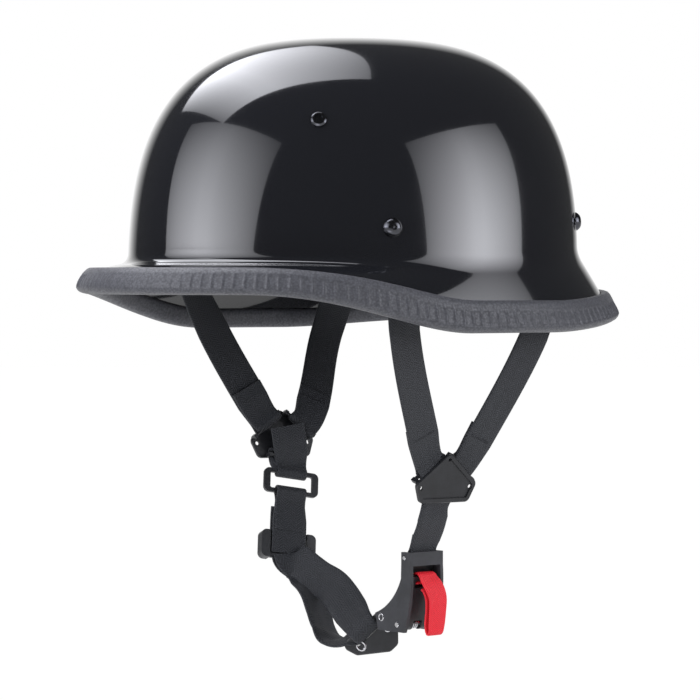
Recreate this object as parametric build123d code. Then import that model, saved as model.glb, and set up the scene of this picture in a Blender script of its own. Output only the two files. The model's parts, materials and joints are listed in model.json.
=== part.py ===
from build123d import *
from math import atan2, cos, degrees, pi, radians, sin
import os

# A half shell motorcycle helmet, seen as worn: the front is -Y, the wearer's left is +X, up is +Z.
# Lengths are millimetres. Heights are first counted from the ear edge of the brim, and every
# piece is then lowered so that the origin is the crown seat, where the top of the head rests.

# shell: a dome over an egg shaped outline, with a crease all round and a flared brim below it
half_width = 105.0
half_length = 130.0
crown_height = 157.0
crown_shift = 14.5
side_taper = 18.2
shell_wall = 4.0
crease_front = 37.0
crease_ear = 36.0
crease_rear = 44.0
flare_front = 23.4
flare_ear = 12.8
flare_rear = 19.3
edge_front = 23.6
edge_ear = 4.0
edge_rear = 10.3
egg_share = 0.072
dome_square_share = 2.994
dome_square_swing_share = 0.484
crease_blend_share = 1.5
flare_out_blend_shares = (0.0, 0.8, 0.0, 0.9)
edge_drop_blend_shares = (0.1, 0.85, 0.3, 1.0)
flare_belly_shares = (0.36, 0.05, 0.02)
dome_ring_shares = (0.12, 0.28, 0.44, 0.6, 0.74, 0.87, 1.0)
flare_ring_shares = (0.0, 0.33, 0.67, 1.0)
ring_count = 40

# edge trim: a padded U channel folded over the brim
trim_outer_leg = 13.4
trim_inner_leg = 9.0
trim_bulge = 4.2
trim_inner_bulge = 2.8
trim_sole = 2.4
trim_fit = 0.15
trim_recess = 0.8
trim_seat_shares = (1.0, 0.8, 0.6, 0.4, 0.2, 0.0)
trim_roll_shares = ((1.0, 0.5), (0.88, 0.9), (0.7, 1.0), (0.56, 1.0))
trim_band_shares = (0.52, 0.05)
trim_edge_shares = ((0.01, 0.98),)
trim_sole_shares = ((0.7, 0.5), (1.0, 0.4), (0.6, 0.9))
trim_back_shares = ((0.25, 1.0), (0.8, 0.95))

# foam liner and its fabric covered comfort pads
foam_gap = 0.3
foam_thick = 20.0
foam_relief = 4.8
pad_gap = 0.6
pad_thick = 7.0
crown_pad_thick = 8.0
foam_relief_shares = (0.74, 0.86)

# webbing and its fittings
web_width = 20.0
web_thick = 1.4
web_gap = 0.5
eye_width = 16.8
eye_gap = 0.35
eye_reach_share = 1.3

# rivets
rivet_head = 10.0
rivet_dome = 2.6
dome_middle_share = 0.72
rivet_shank = 4.0
rivet_clearance = 0.1
washer_size = 11.0
washer_thick = 1.0
clench_size = 6.5
clench_thick = 1.0
stud_head = 8.0
stud_dome = 1.6
stud_dish = 0.8
stud_dish_size = 4.4
front_rivet_shares = (66.5 / 180, 0.911)
rear_rivet_shares = (137.0 / 180, 0.906)
stud_shares = (46.0 / 180, 0.66)

# strap divider: a dished cover plate with three rods behind it, which the webbing is sewn round
divider_top = 15.5
divider_shoulder = 19.5
divider_shoulder_drop = 1.5
divider_foot = 15.5
divider_foot_drop = 12.0
divider_cover = 2.0
divider_rim = 2.4
divider_dish = 0.8
divider_corner = 3.4
divider_rod = 2.2
divider_rod_inset = 1.2
divider_post = 2.2
divider_post_gap = 0.4
divider_hole = 2.2
divider_hole_inset = 3.9
divider_spread_share = 1.12

# where the webbing and its fittings hang, as shares of the half width, half length and crown height
near_divider_shares = (0.615, 0.0615, -0.484)
far_divider_shares = (-0.638, 0.0615, -0.3694)
divider_lean = 14.0
near_turn = 0.0
far_turn = 19.0
divider_roll = 6.0
near_front_exit_shares = (0.8286, -0.2846, 0.0)
near_rear_exit_shares = (0.8476, 0.4, 0.0)
far_front_exit_shares = (-0.8286, -0.2038, 0.0)
far_rear_exit_shares = (-0.8476, 0.4423, 0.0)
link_inward = 5.5
link_drop = 26.4
slide_shares = (-0.4952, -0.0077, -0.7516)
track_centre_shares = (0.1657, 0.0385, -0.742)
loop_inner_shares = ((-0.3238, -0.0115, -0.8268), (-0.0876, -0.0246, -0.8745), (0.0295, -0.0438, -0.9172))
loop_outer_shares = ((0.0752, -0.0562, -1.0344), (0.001, -0.0715, -1.0548), (-0.0819, -0.0792, -1.0274),
                     (-0.1743, -0.0723, -0.9682), (-0.319, -0.0585, -0.9172))

# rectangular link and three bar slide on the far side
link_width = 32.0
link_height = 13.8
link_bar = 2.4
link_side = 3.6
link_thick = 2.4
link_corner = 3.0
link_inner_share = 0.33
link_lap_share = 1.2
strap_end_share = 0.6
lower_middle_share = 0.4
slide_height = 15.5
slide_bar = 2.8
web_pair = 0.3
slide_bar_thick = 1.6
slide_ear_gap = 1.0
join_gap = 0.3
tail_length = 22.0

# ratchet buckle: its track is an arc under the jaw
track_inner = 33.6
floor_thick = 2.0
track_gap = 0.35
strip_thick = 2.2
strip_width = 14.0
tooth_pitch = 2.6
tooth_height = 1.0
tooth_rise_share = 0.12
tooth_run_share = 0.98
strip_start_angle = 13.0
strip_end_angle = 50.0
mouth_angle = 18.0
floor_end_angle = 68.0
buckle_width = 23.0
buckle_wall = 2.0
buckle_depth = 5.0
buckle_foot_inset = 5.0
buckle_foot_drop = 7.4
buckle_top_rise = 1.5
buckle_neck_inset = 7.2
buckle_neck_drop = 4.0
bridge_height = 7.2
bridge_thick = 1.4
pin_size = 3.0
pin_clearance = 0.05
pin_depth = 12.8
pin_angle = 37.0
pin_break_share = 0.1
nose_back_angle = 5.0
tooth_start_angle = 6.0
tooth_stop_angle = 3.0
tooth_margin = 1.0
ribbon_bar = 2.4
ribbon_window = 3.6
ribbon_gap = 1.2
nose_arm_share = 0.5
spring_pitch = 1.3
spring_room_gap = 0.35
pin_stand = 0.8
bar_size = 2.4
bar_depth = 0.3
bar_angle = 87.5
nose_angle = 44.0
nose_lift = 0.3
lever_thick = 2.6
lever_width = 17.0
lever_tip_drop = 11.2
lever_hub = 6.4
spring_wire = 0.9
spring_turns = 3
spring_steps = 12
spring_sides = 6
ribbon_width = 12.0
ribbon_thick = 1.2
ribbon_length = 31.0

# tongue plate: a fitting that faces out to the left and front, with a slot for the webbing loop
plate_shift = 2.9
plate_forward = 8.5
plate_drop = 8.8
plate_facing = 50.0
plate_slope = 43.8
plate_thick = 3.0
plate_bar = 3.0
plate_slot = 3.6
plate_slot_length = 22.0
plate_right = 11.5
plate_left = 17.5
plate_deep = 15.5
plate_corner = 3.2
plate_rivet_size = 4.0
plate_rivet_height = 0.8
plate_rivet_share = 0.35
plate_rivet_round_share = 0.6
plate_side_share = 0.6
plate_left_share = 0.3

# the slack webbing loop, from the slide round the bar of the tongue plate and back
loop_width = 16.0
loop_shift = -2.0
loop_lead = 4.0
wrap_count = 5
leg_wall_shares = (-0.55, 0.0, 0.5, 1.0)
leg_low_share = 0.75
front_crease_share = 70.0 / 180
rear_crease_share = 126.0 / 180

# comfort pads as shares of a full turn and of the way from the crown to the crease
crown_pad_share = 0.3
side_pad_shares = (0.25, 0.075, 0.78, 0.13)
front_pad_shares = (0.0, 0.11, 0.8, 0.12)
rear_pad_shares = (0.5, 0.11, 0.76, 0.13)
pad_ring_count = 24
pad_back_shares = (0.35, 0.65, 0.95)
pad_rim_share = 0.35
pad_crown_shares = ((0.35, 0.98), (0.65, 0.92), (0.95, 0.68))
pad_square = 4

small_turn = 0.001
through_share = 4.0
edge_break_share = 0.2
clench_gap = 0.3
head_lift = 0.3
up = Vector(0, 0, 1)
left_front_rivet = (front_rivet_shares[0] * pi, front_rivet_shares[1])
left_rear_rivet = (rear_rivet_shares[0] * pi, rear_rivet_shares[1])
left_stud = (stud_shares[0] * pi, stud_shares[1])
strap_rivet_places = [left_front_rivet, left_rear_rivet]
strap_rivet_places += [(-turn, share) for turn, share in strap_rivet_places]
stud_places = [left_stud, (-left_stud[0], left_stud[1])]
rivet_places = strap_rivet_places + stud_places
seat_height = crown_height - shell_wall - foam_gap - foam_thick - pad_gap - crown_pad_thick


def hung(shares):
    # a place given as shares of the half width, the half length and the crown height
    return Vector(shares[0] * half_width, shares[1] * half_length, shares[2] * crown_height)


near_divider = hung(near_divider_shares)
far_divider = hung(far_divider_shares)
link_at = far_divider + Vector(link_inward, 0, -link_drop)
slide_at = hung(slide_shares)
track_centre = hung(track_centre_shares)
plate_at = track_centre + Vector(plate_shift, -plate_forward, -track_inner - plate_drop)
buckle_outer = track_centre.X + track_inner + buckle_depth
buckle_foot = buckle_outer - buckle_foot_inset
buckle_foot_height = track_centre.Z - track_inner - buckle_foot_drop
buckle_top_height = track_centre.Z + buckle_top_rise
buckle_neck = buckle_outer - buckle_neck_inset
buckle_neck_height = track_centre.Z - buckle_neck_drop
lever_tip_height = track_centre.Z - lever_tip_drop
pin_place = (track_inner + pin_depth, pin_angle)
bar_place = (track_inner + bar_depth, bar_angle)


def smooth_step(low, high, value):
    # an even S curve from 0 at low to 1 at high
    share = min(max((value - low) / (high - low), 0), 1)
    return share * share * (3 - 2 * share)


def around(turn, front, ear, rear, blends):
    # a size that changes smoothly from the front to the ears and on to the rear
    to_front = smooth_step(blends[0], blends[1], cos(turn))
    to_rear = smooth_step(blends[2], blends[3], -cos(turn))
    return ear + (front - ear) * to_front + (rear - ear) * to_rear


def crease_height(turn):
    to_front = max(cos(turn), 0) ** crease_blend_share
    to_rear = max(-cos(turn), 0) ** crease_blend_share
    return crease_ear + (crease_front - crease_ear) * to_front + (crease_rear - crease_ear) * to_rear


def dome(turn, share):
    # a point of the outer dome: turn goes round from the front, share from the crown to the crease
    square = dome_square_share + dome_square_swing_share * cos(turn)
    middle = crease_height(turn) - side_taper
    low = side_taper / (crown_height - middle)
    rim = (1 - low ** square) ** (1 / square)
    lean = share * atan2(rim, low)
    reach = (sin(lean) ** square + cos(lean) ** square) ** (-1 / square)
    out = reach * sin(lean) / rim
    rise = reach * cos(lean)
    side = half_width * sin(turn) * (1 - egg_share * cos(turn)) * out
    back = -half_length * cos(turn) * out + crown_shift * rise * rise
    return Vector(side, back, middle + (crown_height - middle) * rise)


def outline_normal(turn):
    # the level direction that points straight out of the egg shaped outline
    run = dome(turn + small_turn, 1.0) - dome(turn - small_turn, 1.0)
    return Vector(run.Y, -run.X, 0).normalized()


def flare_sizes(turn):
    # how far the brim goes out and down from the crease, and how round its belly is
    out = around(turn, flare_front, flare_ear, flare_rear, flare_out_blend_shares)
    edge = around(turn, edge_front, edge_ear, edge_rear, edge_drop_blend_shares)
    belly = around(turn, *flare_belly_shares, flare_out_blend_shares)
    return out, dome(turn, 1.0).Z - edge, belly


def flare(turn, share):
    # a point of the outer brim, a three point curve from the crease (0) to the edge (1)
    out, drop, belly = flare_sizes(turn)
    pull = 2 * share * (1 - share)
    away = pull * (0.5 + belly) * out + share * share * out
    down = pull * (0.5 - belly) * drop + share * share * drop
    return dome(turn, 1.0) + outline_normal(turn) * away - up * down


def surface_normal(surface, turn, share):
    # the outward direction of a surface, from two short steps along it
    run = surface(turn + small_turn, share) - surface(turn - small_turn, share)
    fall = surface(turn, min(share + small_turn, 1)) - surface(turn, max(share - small_turn, 0))
    return fall.cross(run).normalized()


def under(surface, turn, share, depth):
    return surface(turn, share) - surface_normal(surface, turn, share) * depth


def under_crease(turn, depth):
    # where the inner faces of the dome and the brim meet, a mitre of the two
    above = surface_normal(dome, turn, 1.0)
    below = surface_normal(flare, turn, 0.0)
    return dome(turn, 1.0) - (above + below) * (depth / (1 + above.dot(below)))


def ring(point, count=ring_count):
    return Wire([Edge.make_spline([point(2 * pi * i / count) for i in range(count)], periodic=True)])


def closed_solid(*face_groups):
    return Solid(Shell([face for group in face_groups for face in group.faces()]))


def crown_point(depth):
    return Vertex(*(dome(0, 0) - up * depth))


def make_shell():
    outer = [ring(lambda turn, s=share: dome(turn, s)) for share in dome_ring_shares]
    brim = [outer[-1]] + [ring(lambda turn, s=share: flare(turn, s)) for share in flare_ring_shares[1:]]
    inner = [ring(lambda turn, s=share: under(dome, turn, s, shell_wall)) for share in dome_ring_shares[:-1]]
    inner.append(ring(lambda turn: under_crease(turn, shell_wall)))
    under_brim = [inner[-1]]
    under_brim += [ring(lambda turn, s=share: under(flare, turn, s, shell_wall)) for share in flare_ring_shares[1:]]
    solid = closed_solid(
        Shell.make_loft([crown_point(0)] + outer),
        Shell.make_loft(brim),
        Shell.make_loft([brim[-1], under_brim[-1]], ruled=True),
        Shell.make_loft(under_brim),
        Shell.make_loft([crown_point(shell_wall)] + inner),
    )
    for place in rivet_places:
        solid = solid - rivet_bore(place, rivet_shank)
    return solid


def brim_point(turn, climb, depth):
    # a point climb millimetres up the brim from its edge, depth millimetres under its outer face
    out, drop, belly = flare_sizes(turn)
    length = (flare(turn, 1.0) - flare(turn, 0.5)).length + (flare(turn, 0.5) - flare(turn, 0.0)).length
    if climb < 0:
        down = (flare(turn, 1.0) - flare(turn, 1 - small_turn)).normalized()
        return under(flare, turn, 1.0, depth) - down * climb
    return under(flare, turn, 1 - min(climb / length, 1), depth)


def make_trim():
    back = shell_wall + trim_inner_bulge
    # a roll at the top, the sunken band below it, the roll round the edge and the inner leg
    outside = [(trim_outer_leg, -trim_fit)]
    outside += [(trim_outer_leg * climb, -trim_bulge * depth) for climb, depth in trim_roll_shares]
    outside += [(trim_outer_leg * climb, trim_recess - trim_bulge) for climb in trim_band_shares]
    outside += [(trim_outer_leg * climb, -trim_bulge * depth) for climb, depth in trim_edge_shares]
    sole_depths = (-trim_bulge, shell_wall, back)
    outside += [(-trim_sole * climb, depth * full) for (climb, depth), full in zip(trim_sole_shares, sole_depths)]
    outside += [(trim_inner_leg * climb, back * depth) for climb, depth in trim_back_shares]
    outside.append((trim_inner_leg, shell_wall + trim_fit))
    inside = [(trim_inner_leg * share, shell_wall + trim_fit) for share in trim_seat_shares[1:-1]]
    inside += [(-trim_fit, shell_wall + trim_fit), (-trim_fit, -trim_fit)]
    inside += [(trim_outer_leg * share, -trim_fit) for share in reversed(trim_seat_shares[1:-1])]
    rings = [ring(lambda turn, p=pair: brim_point(turn, *p)) for pair in outside]
    seat = [rings[-1]] + [ring(lambda turn, p=pair: brim_point(turn, *p)) for pair in inside] + [rings[0]]
    return closed_solid(
        Shell.make_loft(rings, ruled=True),
        Shell.make_loft(seat, ruled=True),
    )


def foam_depth(share):
    # the foam hugs the shell and steps in near its foot, to leave room for the webbing and rivets
    return shell_wall + foam_gap + foam_relief * smooth_step(*foam_relief_shares, share)


def make_foam():
    inner_depth = shell_wall + foam_gap + foam_thick
    outer = [ring(lambda turn, s=share: under(dome, turn, s, foam_depth(s))) for share in dome_ring_shares]
    inner = [ring(lambda turn, s=share: under(dome, turn, s, inner_depth)) for share in dome_ring_shares]
    solid = closed_solid(
        Shell.make_loft([crown_point(foam_depth(0))] + outer),
        Shell.make_loft([outer[-1], inner[-1]], ruled=True),
        Shell.make_loft([crown_point(inner_depth)] + inner),
    )
    for place in stud_places:
        depth = shell_wall + washer_thick + 2 * clench_gap + clench_thick + foam_gap
        pocket = Cylinder(washer_size / 2 + foam_gap, depth, align=(Align.CENTER, Align.CENTER, Align.MAX))
        solid = solid - rivet_plane(place) * pocket
    return solid


def cushion(back, rim, face, back_middle, face_middle):
    # a closed cushion: a back and a crowned face, each from its middle out, and a rounded rim between
    return closed_solid(
        Shell.make_loft([Vertex(*back_middle)] + back),
        Shell.make_loft([back[-1], rim, face[-1]], ruled=True),
        Shell.make_loft([Vertex(*face_middle)] + face),
    )


def make_crown_pad():
    top = shell_wall + foam_gap + foam_thick + pad_gap

    def level_ring(size, thick):
        return ring(lambda turn: under(dome, turn, size * crown_pad_share, top + crown_pad_thick * thick))

    return cushion([level_ring(size, 0) for size in pad_back_shares], level_ring(1, pad_rim_share),
                   [level_ring(size, thick) for size, thick in pad_crown_shares],
                   dome(0, 0) - up * top, dome(0, 0) - up * (top + crown_pad_thick))


def make_pad(turn_middle, turn_reach, share_middle, share_reach):
    # a cushion on the foam, a rounded rectangle grown from its middle
    top = shell_wall + foam_gap + foam_thick + pad_gap

    def edge_ring(size, thick):
        def point(angle):
            stretch = (abs(cos(angle)) ** pad_square + abs(sin(angle)) ** pad_square) ** (-1 / pad_square)
            turn = 2 * pi * (turn_middle + turn_reach * size * stretch * cos(angle))
            share = share_middle + share_reach * size * stretch * sin(angle)
            return under(dome, turn, share, top + pad_thick * thick)
        return ring(point, pad_ring_count)

    middle = 2 * pi * turn_middle
    return cushion([edge_ring(size, 0) for size in pad_back_shares], edge_ring(1, pad_rim_share),
                   [edge_ring(size, thick) for size, thick in pad_crown_shares],
                   under(dome, middle, share_middle, top), under(dome, middle, share_middle, top + pad_thick))


def rivet_plane(place):
    # stands on the outer face of the dome with z straight out
    turn, share = place
    run = dome(turn + small_turn, share) - dome(turn - small_turn, share)
    return Plane(origin=dome(turn, share), x_dir=run.normalized(), z_dir=surface_normal(dome, turn, share))


def rivet_bore(place, size):
    bore = Cylinder(size / 2 + rivet_clearance, through_share * (shell_wall + foam_relief))
    return rivet_plane(place) * bore


def turned_rivet(place, head, depth):
    # a head turned about the rivet's axis, on a shank that ends in a clenched collar depth below
    shank = rivet_shank / 2
    collar = clench_size / 2
    start = head[0] @ 0
    rim = head[-1] @ 1
    foot = -depth - clench_thick
    corners = [(rim.X, rim.Y), (shank, head_lift), (shank, -depth), (collar, -depth), (collar, foot), (0, foot),
               (start.X, start.Y)]
    outline = make_face(head + list(Polyline(*corners).edges()))
    return rivet_plane(place) * revolve(Plane.XZ * outline, Axis.Z)


def make_strap_rivet(place):
    # a domed head outside, the shank through shell, webbing and washer, and a clenched end
    radius = rivet_head / 2
    top = rivet_dome + head_lift
    middle = (radius * dome_middle_share, head_lift + rivet_dome * dome_middle_share)
    depth = shell_wall + web_gap + web_thick + washer_thick + 2 * clench_gap
    return turned_rivet(place, [ThreePointArc((0, top), middle, (radius, head_lift))], depth)


def make_stud(place):
    # a low head with a sloping rim and a dished middle
    depth = shell_wall + washer_thick + 2 * clench_gap
    dish = stud_dish_size / 2
    radius = stud_head / 2
    top = head_lift + stud_dome
    points = [(0, top - stud_dish), (dish, top - stud_dish), (dish, top), (radius - stud_dome / 2, top),
              (radius, top - stud_dome / 2), (radius, head_lift)]
    return turned_rivet(place, list(Polyline(*points).edges()), depth)


def make_washer(place, depth):
    lower = (Align.CENTER, Align.CENTER, Align.MAX)
    disc = Cylinder(washer_size / 2, washer_thick, align=lower)
    disc -= Cylinder(rivet_shank / 2 + rivet_clearance, washer_thick, align=lower)
    return rivet_plane(place) * (Pos(0, 0, -depth) * disc)


def make_eye(place, across, away, bar, width=eye_width):
    # the sewn end of a band: a closed loop round a bar, with a double neck that runs on along away
    inner = bar / 2 + eye_gap
    outer = inner + web_thick
    profile = Circle(outer) + Pos(0, outer * eye_reach_share / 2) * Rectangle(2 * web_thick, outer * eye_reach_share)
    profile -= Circle(inner)
    side = Plane(origin=place, x_dir=away.cross(across), z_dir=across)
    return extrude(side * profile, width / 2, both=True)


def eye_end(place, away, bar):
    # where the neck of such a loop ends
    return place + away * ((bar / 2 + eye_gap + web_thick) * eye_reach_share)


def smooth_line(points, first, last, steps):
    # places and directions along a smooth line through the points, with a cubic piece between each two
    hops = [(b - a).normalized() for a, b in zip(points, points[1:])]
    ways = [first] + [(a + b).normalized() for a, b in zip(hops, hops[1:])] + [last]
    line = []
    for index in range(len(points) - 1):
        low, high = points[index], points[index + 1]
        reach = (high - low).length
        for step in range(steps + (index == len(points) - 2)):
            t = step / steps
            place = low * (2 * t ** 3 - 3 * t ** 2 + 1) + high * (3 * t ** 2 - 2 * t ** 3)
            place += (ways[index] * (t ** 3 - 2 * t ** 2 + t) + ways[index + 1] * (t ** 3 - t ** 2)) * reach
            way = (high - low) * (6 * t - 6 * t ** 2)
            way += (ways[index] * (3 * t ** 2 - 4 * t + 1) + ways[index + 1] * (3 * t ** 2 - 2 * t)) * reach
            line.append((place, way.normalized(), index, t))
    return line


def band(stations, first=None, last=None, steps=3):
    # a flat band of webbing along a smooth line through its stations, each of which holds a centre,
    # the way its face looks, its width and its thickness; first and last are its directions at the ends
    points = [station[0] for station in stations]
    first = first or (points[1] - points[0]).normalized()
    last = last or (points[-1] - points[-2]).normalized()
    sections = []
    for place, way, index, share in smooth_line(points, first, last, steps):
        low, high = stations[index], stations[index + 1]
        face = low[1] + (high[1] - low[1]) * share
        width = low[2] + (high[2] - low[2]) * share
        thick = low[3] + (high[3] - low[3]) * share
        plane = Plane(origin=place, x_dir=face.cross(way).normalized(), z_dir=way)
        sections.append((plane * Rectangle(width, thick)).wire())
    return Solid.make_loft(sections, ruled=True)


def divider_plane(place, side):
    # x runs toward the wearer's back on the left side, y up along the webbing, z out of the helmet
    lean = radians(divider_lean) * side
    turn = radians(near_turn if side > 0 else far_turn) * -side
    across = Vector(sin(turn), cos(turn), 0)
    rise = (Vector(cos(turn), -sin(turn), 0) * sin(lean) + up * cos(lean)).normalized()
    plane = Plane(origin=place, x_dir=across * side, z_dir=(across * side).cross(rise))
    return plane.rotated((0, 0, divider_roll * -side))


def divider_bars():
    # middle and angle of each rod: the two upper ones follow the sloping edges, the third the foot
    slope = atan2(divider_top + divider_shoulder_drop, divider_shoulder)
    middle_x = -divider_shoulder / 2 * divider_spread_share + divider_rod_inset * sin(slope)
    middle_y = (divider_top - divider_shoulder_drop) / 2 - divider_rod_inset * cos(slope)
    foot_y = -divider_foot_drop + divider_rod_inset
    return [(middle_x, middle_y, degrees(slope)), (-middle_x, middle_y, -degrees(slope)), (0, foot_y, 0)]


def make_divider(place, side):
    # the cover stands clear in front of the sewn loops, on a post at each end of every rod
    back = divider_rod / 2 + 2 * eye_gap + web_thick
    points = [(0, divider_top), (-divider_shoulder, -divider_shoulder_drop), (-divider_foot, -divider_foot_drop),
              (divider_foot, -divider_foot_drop), (divider_shoulder, -divider_shoulder_drop)]
    outline = make_face(Polyline(*points, close=True))
    outline = fillet(outline.vertices(), divider_corner)
    plate = Pos(0, 0, back) * extrude(outline, divider_cover)
    plate = chamfer(plate.edges().group_by(Axis.Z)[-1], divider_cover * edge_break_share)
    plate -= Pos(0, 0, back + divider_cover) * extrude(offset(outline, -divider_rim), -divider_dish)
    holes = [(0, divider_top - divider_hole_inset)]
    ear = divider_shoulder - divider_hole_inset
    holes += [(turn * ear, -divider_shoulder_drop - divider_hole) for turn in (-1, 1)]
    for x, y in holes:
        plate -= Pos(x, y, back) * Cylinder(divider_hole / 2, through_share * divider_cover)
    reach = eye_width / 2 + divider_post_gap + divider_post / 2
    post = Box(divider_post, divider_post, back + divider_rod / 2, align=(Align.CENTER, Align.CENTER, Align.MIN))
    for x, y, angle in divider_bars():
        spot = Pos(x, y) * Rot(0, 0, angle)
        plate += spot * Rot(0, 90, 0) * Cylinder(divider_rod / 2, 2 * reach)
        for end in (-reach, reach):
            plate += spot * Pos(end, 0, -divider_rod / 2) * post
    return divider_plane(place, side) * plate


def divider_bar_frame(place, side, index):
    # a rod's middle, the direction along it and the direction the webbing leaves
    plane = divider_plane(place, side)
    x, y, angle = divider_bars()[index]
    tilt = radians(angle)
    across = plane.x_dir * cos(tilt) + plane.y_dir * sin(tilt)
    away = (plane.y_dir * cos(tilt) - plane.x_dir * sin(tilt)) * (1 if index < 2 else -1)
    return plane.from_local_coords(Vector(x, y, 0)), across, away, plane.z_dir


def wall_station(turn, share):
    depth = shell_wall + web_gap + web_thick / 2
    return under(dome, turn, share, depth), surface_normal(dome, turn, share), web_width, web_thick


def make_leg(rivet, crease_turn, exit_shares, place, side, index):
    # from above its rivet down the inner wall, out past the brim and in to its rod of the divider
    turn, share = rivet
    steps = [(turn + (crease_turn - turn) * step, share + (1 - share) * step) for step in leg_wall_shares]
    stations = [wall_station(*step) for step in steps]
    middle, across, away, facing = divider_bar_frame(place, side, index)
    bar = divider_rod
    neck = eye_end(middle, away, bar)
    face = (facing + Vector(side, 0, 0)).normalized()
    leave = hung(exit_shares)
    stations.append((leave, face, web_width, web_thick))
    stations.append((leave + (neck - leave) * leg_low_share + away * web_thick, facing, web_width, web_thick))
    stations.append((neck, facing, eye_width, 2 * web_thick))
    solid = band(stations, last=away * -1) + make_eye(middle, across, away, bar)
    return solid - rivet_bore(rivet, rivet_shank)


def make_lower_strap():
    # from the foot of the near divider to the bar at the top of the buckle
    middle, across, away, facing = divider_bar_frame(near_divider, 1, 2)
    bar = divider_rod
    start = eye_end(middle, away, bar)
    hold = buckle_point(bar_place)
    level = Vector(0, 1, 0)
    rise = (start - hold)
    rise = Vector(rise.X, 0, rise.Z).normalized()
    finish = eye_end(hold, rise, bar_size)
    face = level.cross(rise)
    stations = [(start, facing, eye_width, 2 * web_thick),
                (start + (finish - start) * lower_middle_share, (facing + face).normalized(), web_width, web_thick),
                (finish, face, eye_width, 2 * web_thick)]
    strap = band(stations, first=away, last=rise * -1)
    return strap + make_eye(middle, across, away, bar) + make_eye(hold, level, rise, bar_size)


def chin_frame():
    # the straight run of webbing on the far side, from the link to the slide: down it, and outward
    run = (slide_at - link_at).normalized()
    turn = radians(far_turn)
    out = Vector(-cos(turn), sin(turn), 0)
    out = (out - run * out.dot(run)).normalized()
    return run, out


def link_plane():
    run, out = chin_frame()
    return Plane(origin=link_at, x_dir=run.cross(out) * -1, z_dir=out)


def make_link():
    # a plain rectangular ring that joins two sewn loops
    outline = RectangleRounded(link_width, link_height, link_corner)
    opening = (link_width - 2 * link_side, link_height - 2 * link_bar)
    outline -= RectangleRounded(*opening, link_corner * link_inner_share)
    solid = extrude(outline, link_thick / 2, both=True)
    solid = chamfer(solid.faces().sort_by(Axis.Z)[-1].edges(), link_thick * edge_break_share)
    return link_plane() * solid


def link_bar_place(lower):
    # the middle of the ring's upper or lower bar
    offset = (link_height - link_bar) / 2
    return link_plane().from_local_coords(Vector(0, -offset if lower else offset, 0))


def link_eye_bar():
    return (link_bar ** 2 + link_thick ** 2) ** 0.5


def make_upper_link_strap():
    # a short double band from the far divider's foot to the link
    middle, across, away, facing = divider_bar_frame(far_divider, -1, 2)
    hold = link_bar_place(False)
    run, out = chin_frame()
    bar = divider_rod
    stations = [(eye_end(middle, away, bar), facing, eye_width, 2 * web_thick),
                (eye_end(hold, -run, link_eye_bar()), out, eye_width, 2 * web_thick)]
    strap = band(stations, first=away, last=run)
    return strap + make_eye(middle, across, away, bar) + make_eye(hold, link_plane().x_dir, run * -1, link_eye_bar())


def slide_layer():
    # how far the outer layer of webbing lies outside the inner one, with a bar between them
    return web_thick + 2 * web_pair + slide_bar_thick


def make_chin_strap():
    # the inner layer, from the link straight down past the slide
    run, out = chin_frame()
    hold = link_bar_place(True)
    stations = [(eye_end(hold, run, link_eye_bar()), out, eye_width, 2 * web_thick),
                (hold + run * link_height * link_lap_share, out, web_width, web_thick),
                (slide_at + run * (slide_height * strap_end_share), out, web_width, web_thick)]
    return band(stations) + make_eye(hold, link_plane().x_dir, run, link_eye_bar())


def make_strap_tail():
    # the outer layer: the free end that comes back up through the slide
    run, out = chin_frame()
    offset = out * slide_layer()
    stations = [(slide_at - run * tail_length + offset, out, web_width, web_thick),
                (slide_at + offset, out, web_width, web_thick),
                (slide_at + run * (slide_height * strap_end_share) + offset, out, web_width, web_thick)]
    return band(stations)


def slide_plane():
    run, out = chin_frame()
    return Plane(origin=slide_at, x_dir=run.cross(out) * -1, z_dir=out)


def make_slide():
    # two side ears, two bars between the layers of webbing and a middle bar outside them
    inner = web_thick / 2 + web_pair
    outer = inner + slide_bar_thick + 2 * web_pair + web_thick
    depth = outer + slide_bar_thick
    gap = web_width + 2 * web_pair + slide_ear_gap
    body = Pos(0, 0, depth / 2) * Box(link_width, slide_height, depth)
    body = fillet(body.edges().filter_by(Axis.Z), link_corner)
    body -= Pos(0, 0, (inner + outer + slide_bar_thick) / 2) * Box(gap, 2 * slide_height, through_share * depth)
    reach = (slide_height - slide_bar) / 2
    bars = [(reach, inner), (-reach, inner), (0, outer)]
    for height, low in bars:
        body += Pos(0, height, low + slide_bar_thick / 2) * Box(gap + slide_bar, slide_bar, slide_bar_thick)
    return slide_plane() * body


def tongue_plane():
    # x along the webbing slot, y toward the webbing loop, z toward the wearer's front left
    facing = radians(plate_facing)
    slope = radians(plate_slope)
    level = Vector(cos(facing), sin(facing), 0)
    out = Vector(sin(facing), -cos(facing), 0)
    return Plane(origin=plate_at, x_dir=level * cos(slope) + up * sin(slope), z_dir=out)


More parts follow.
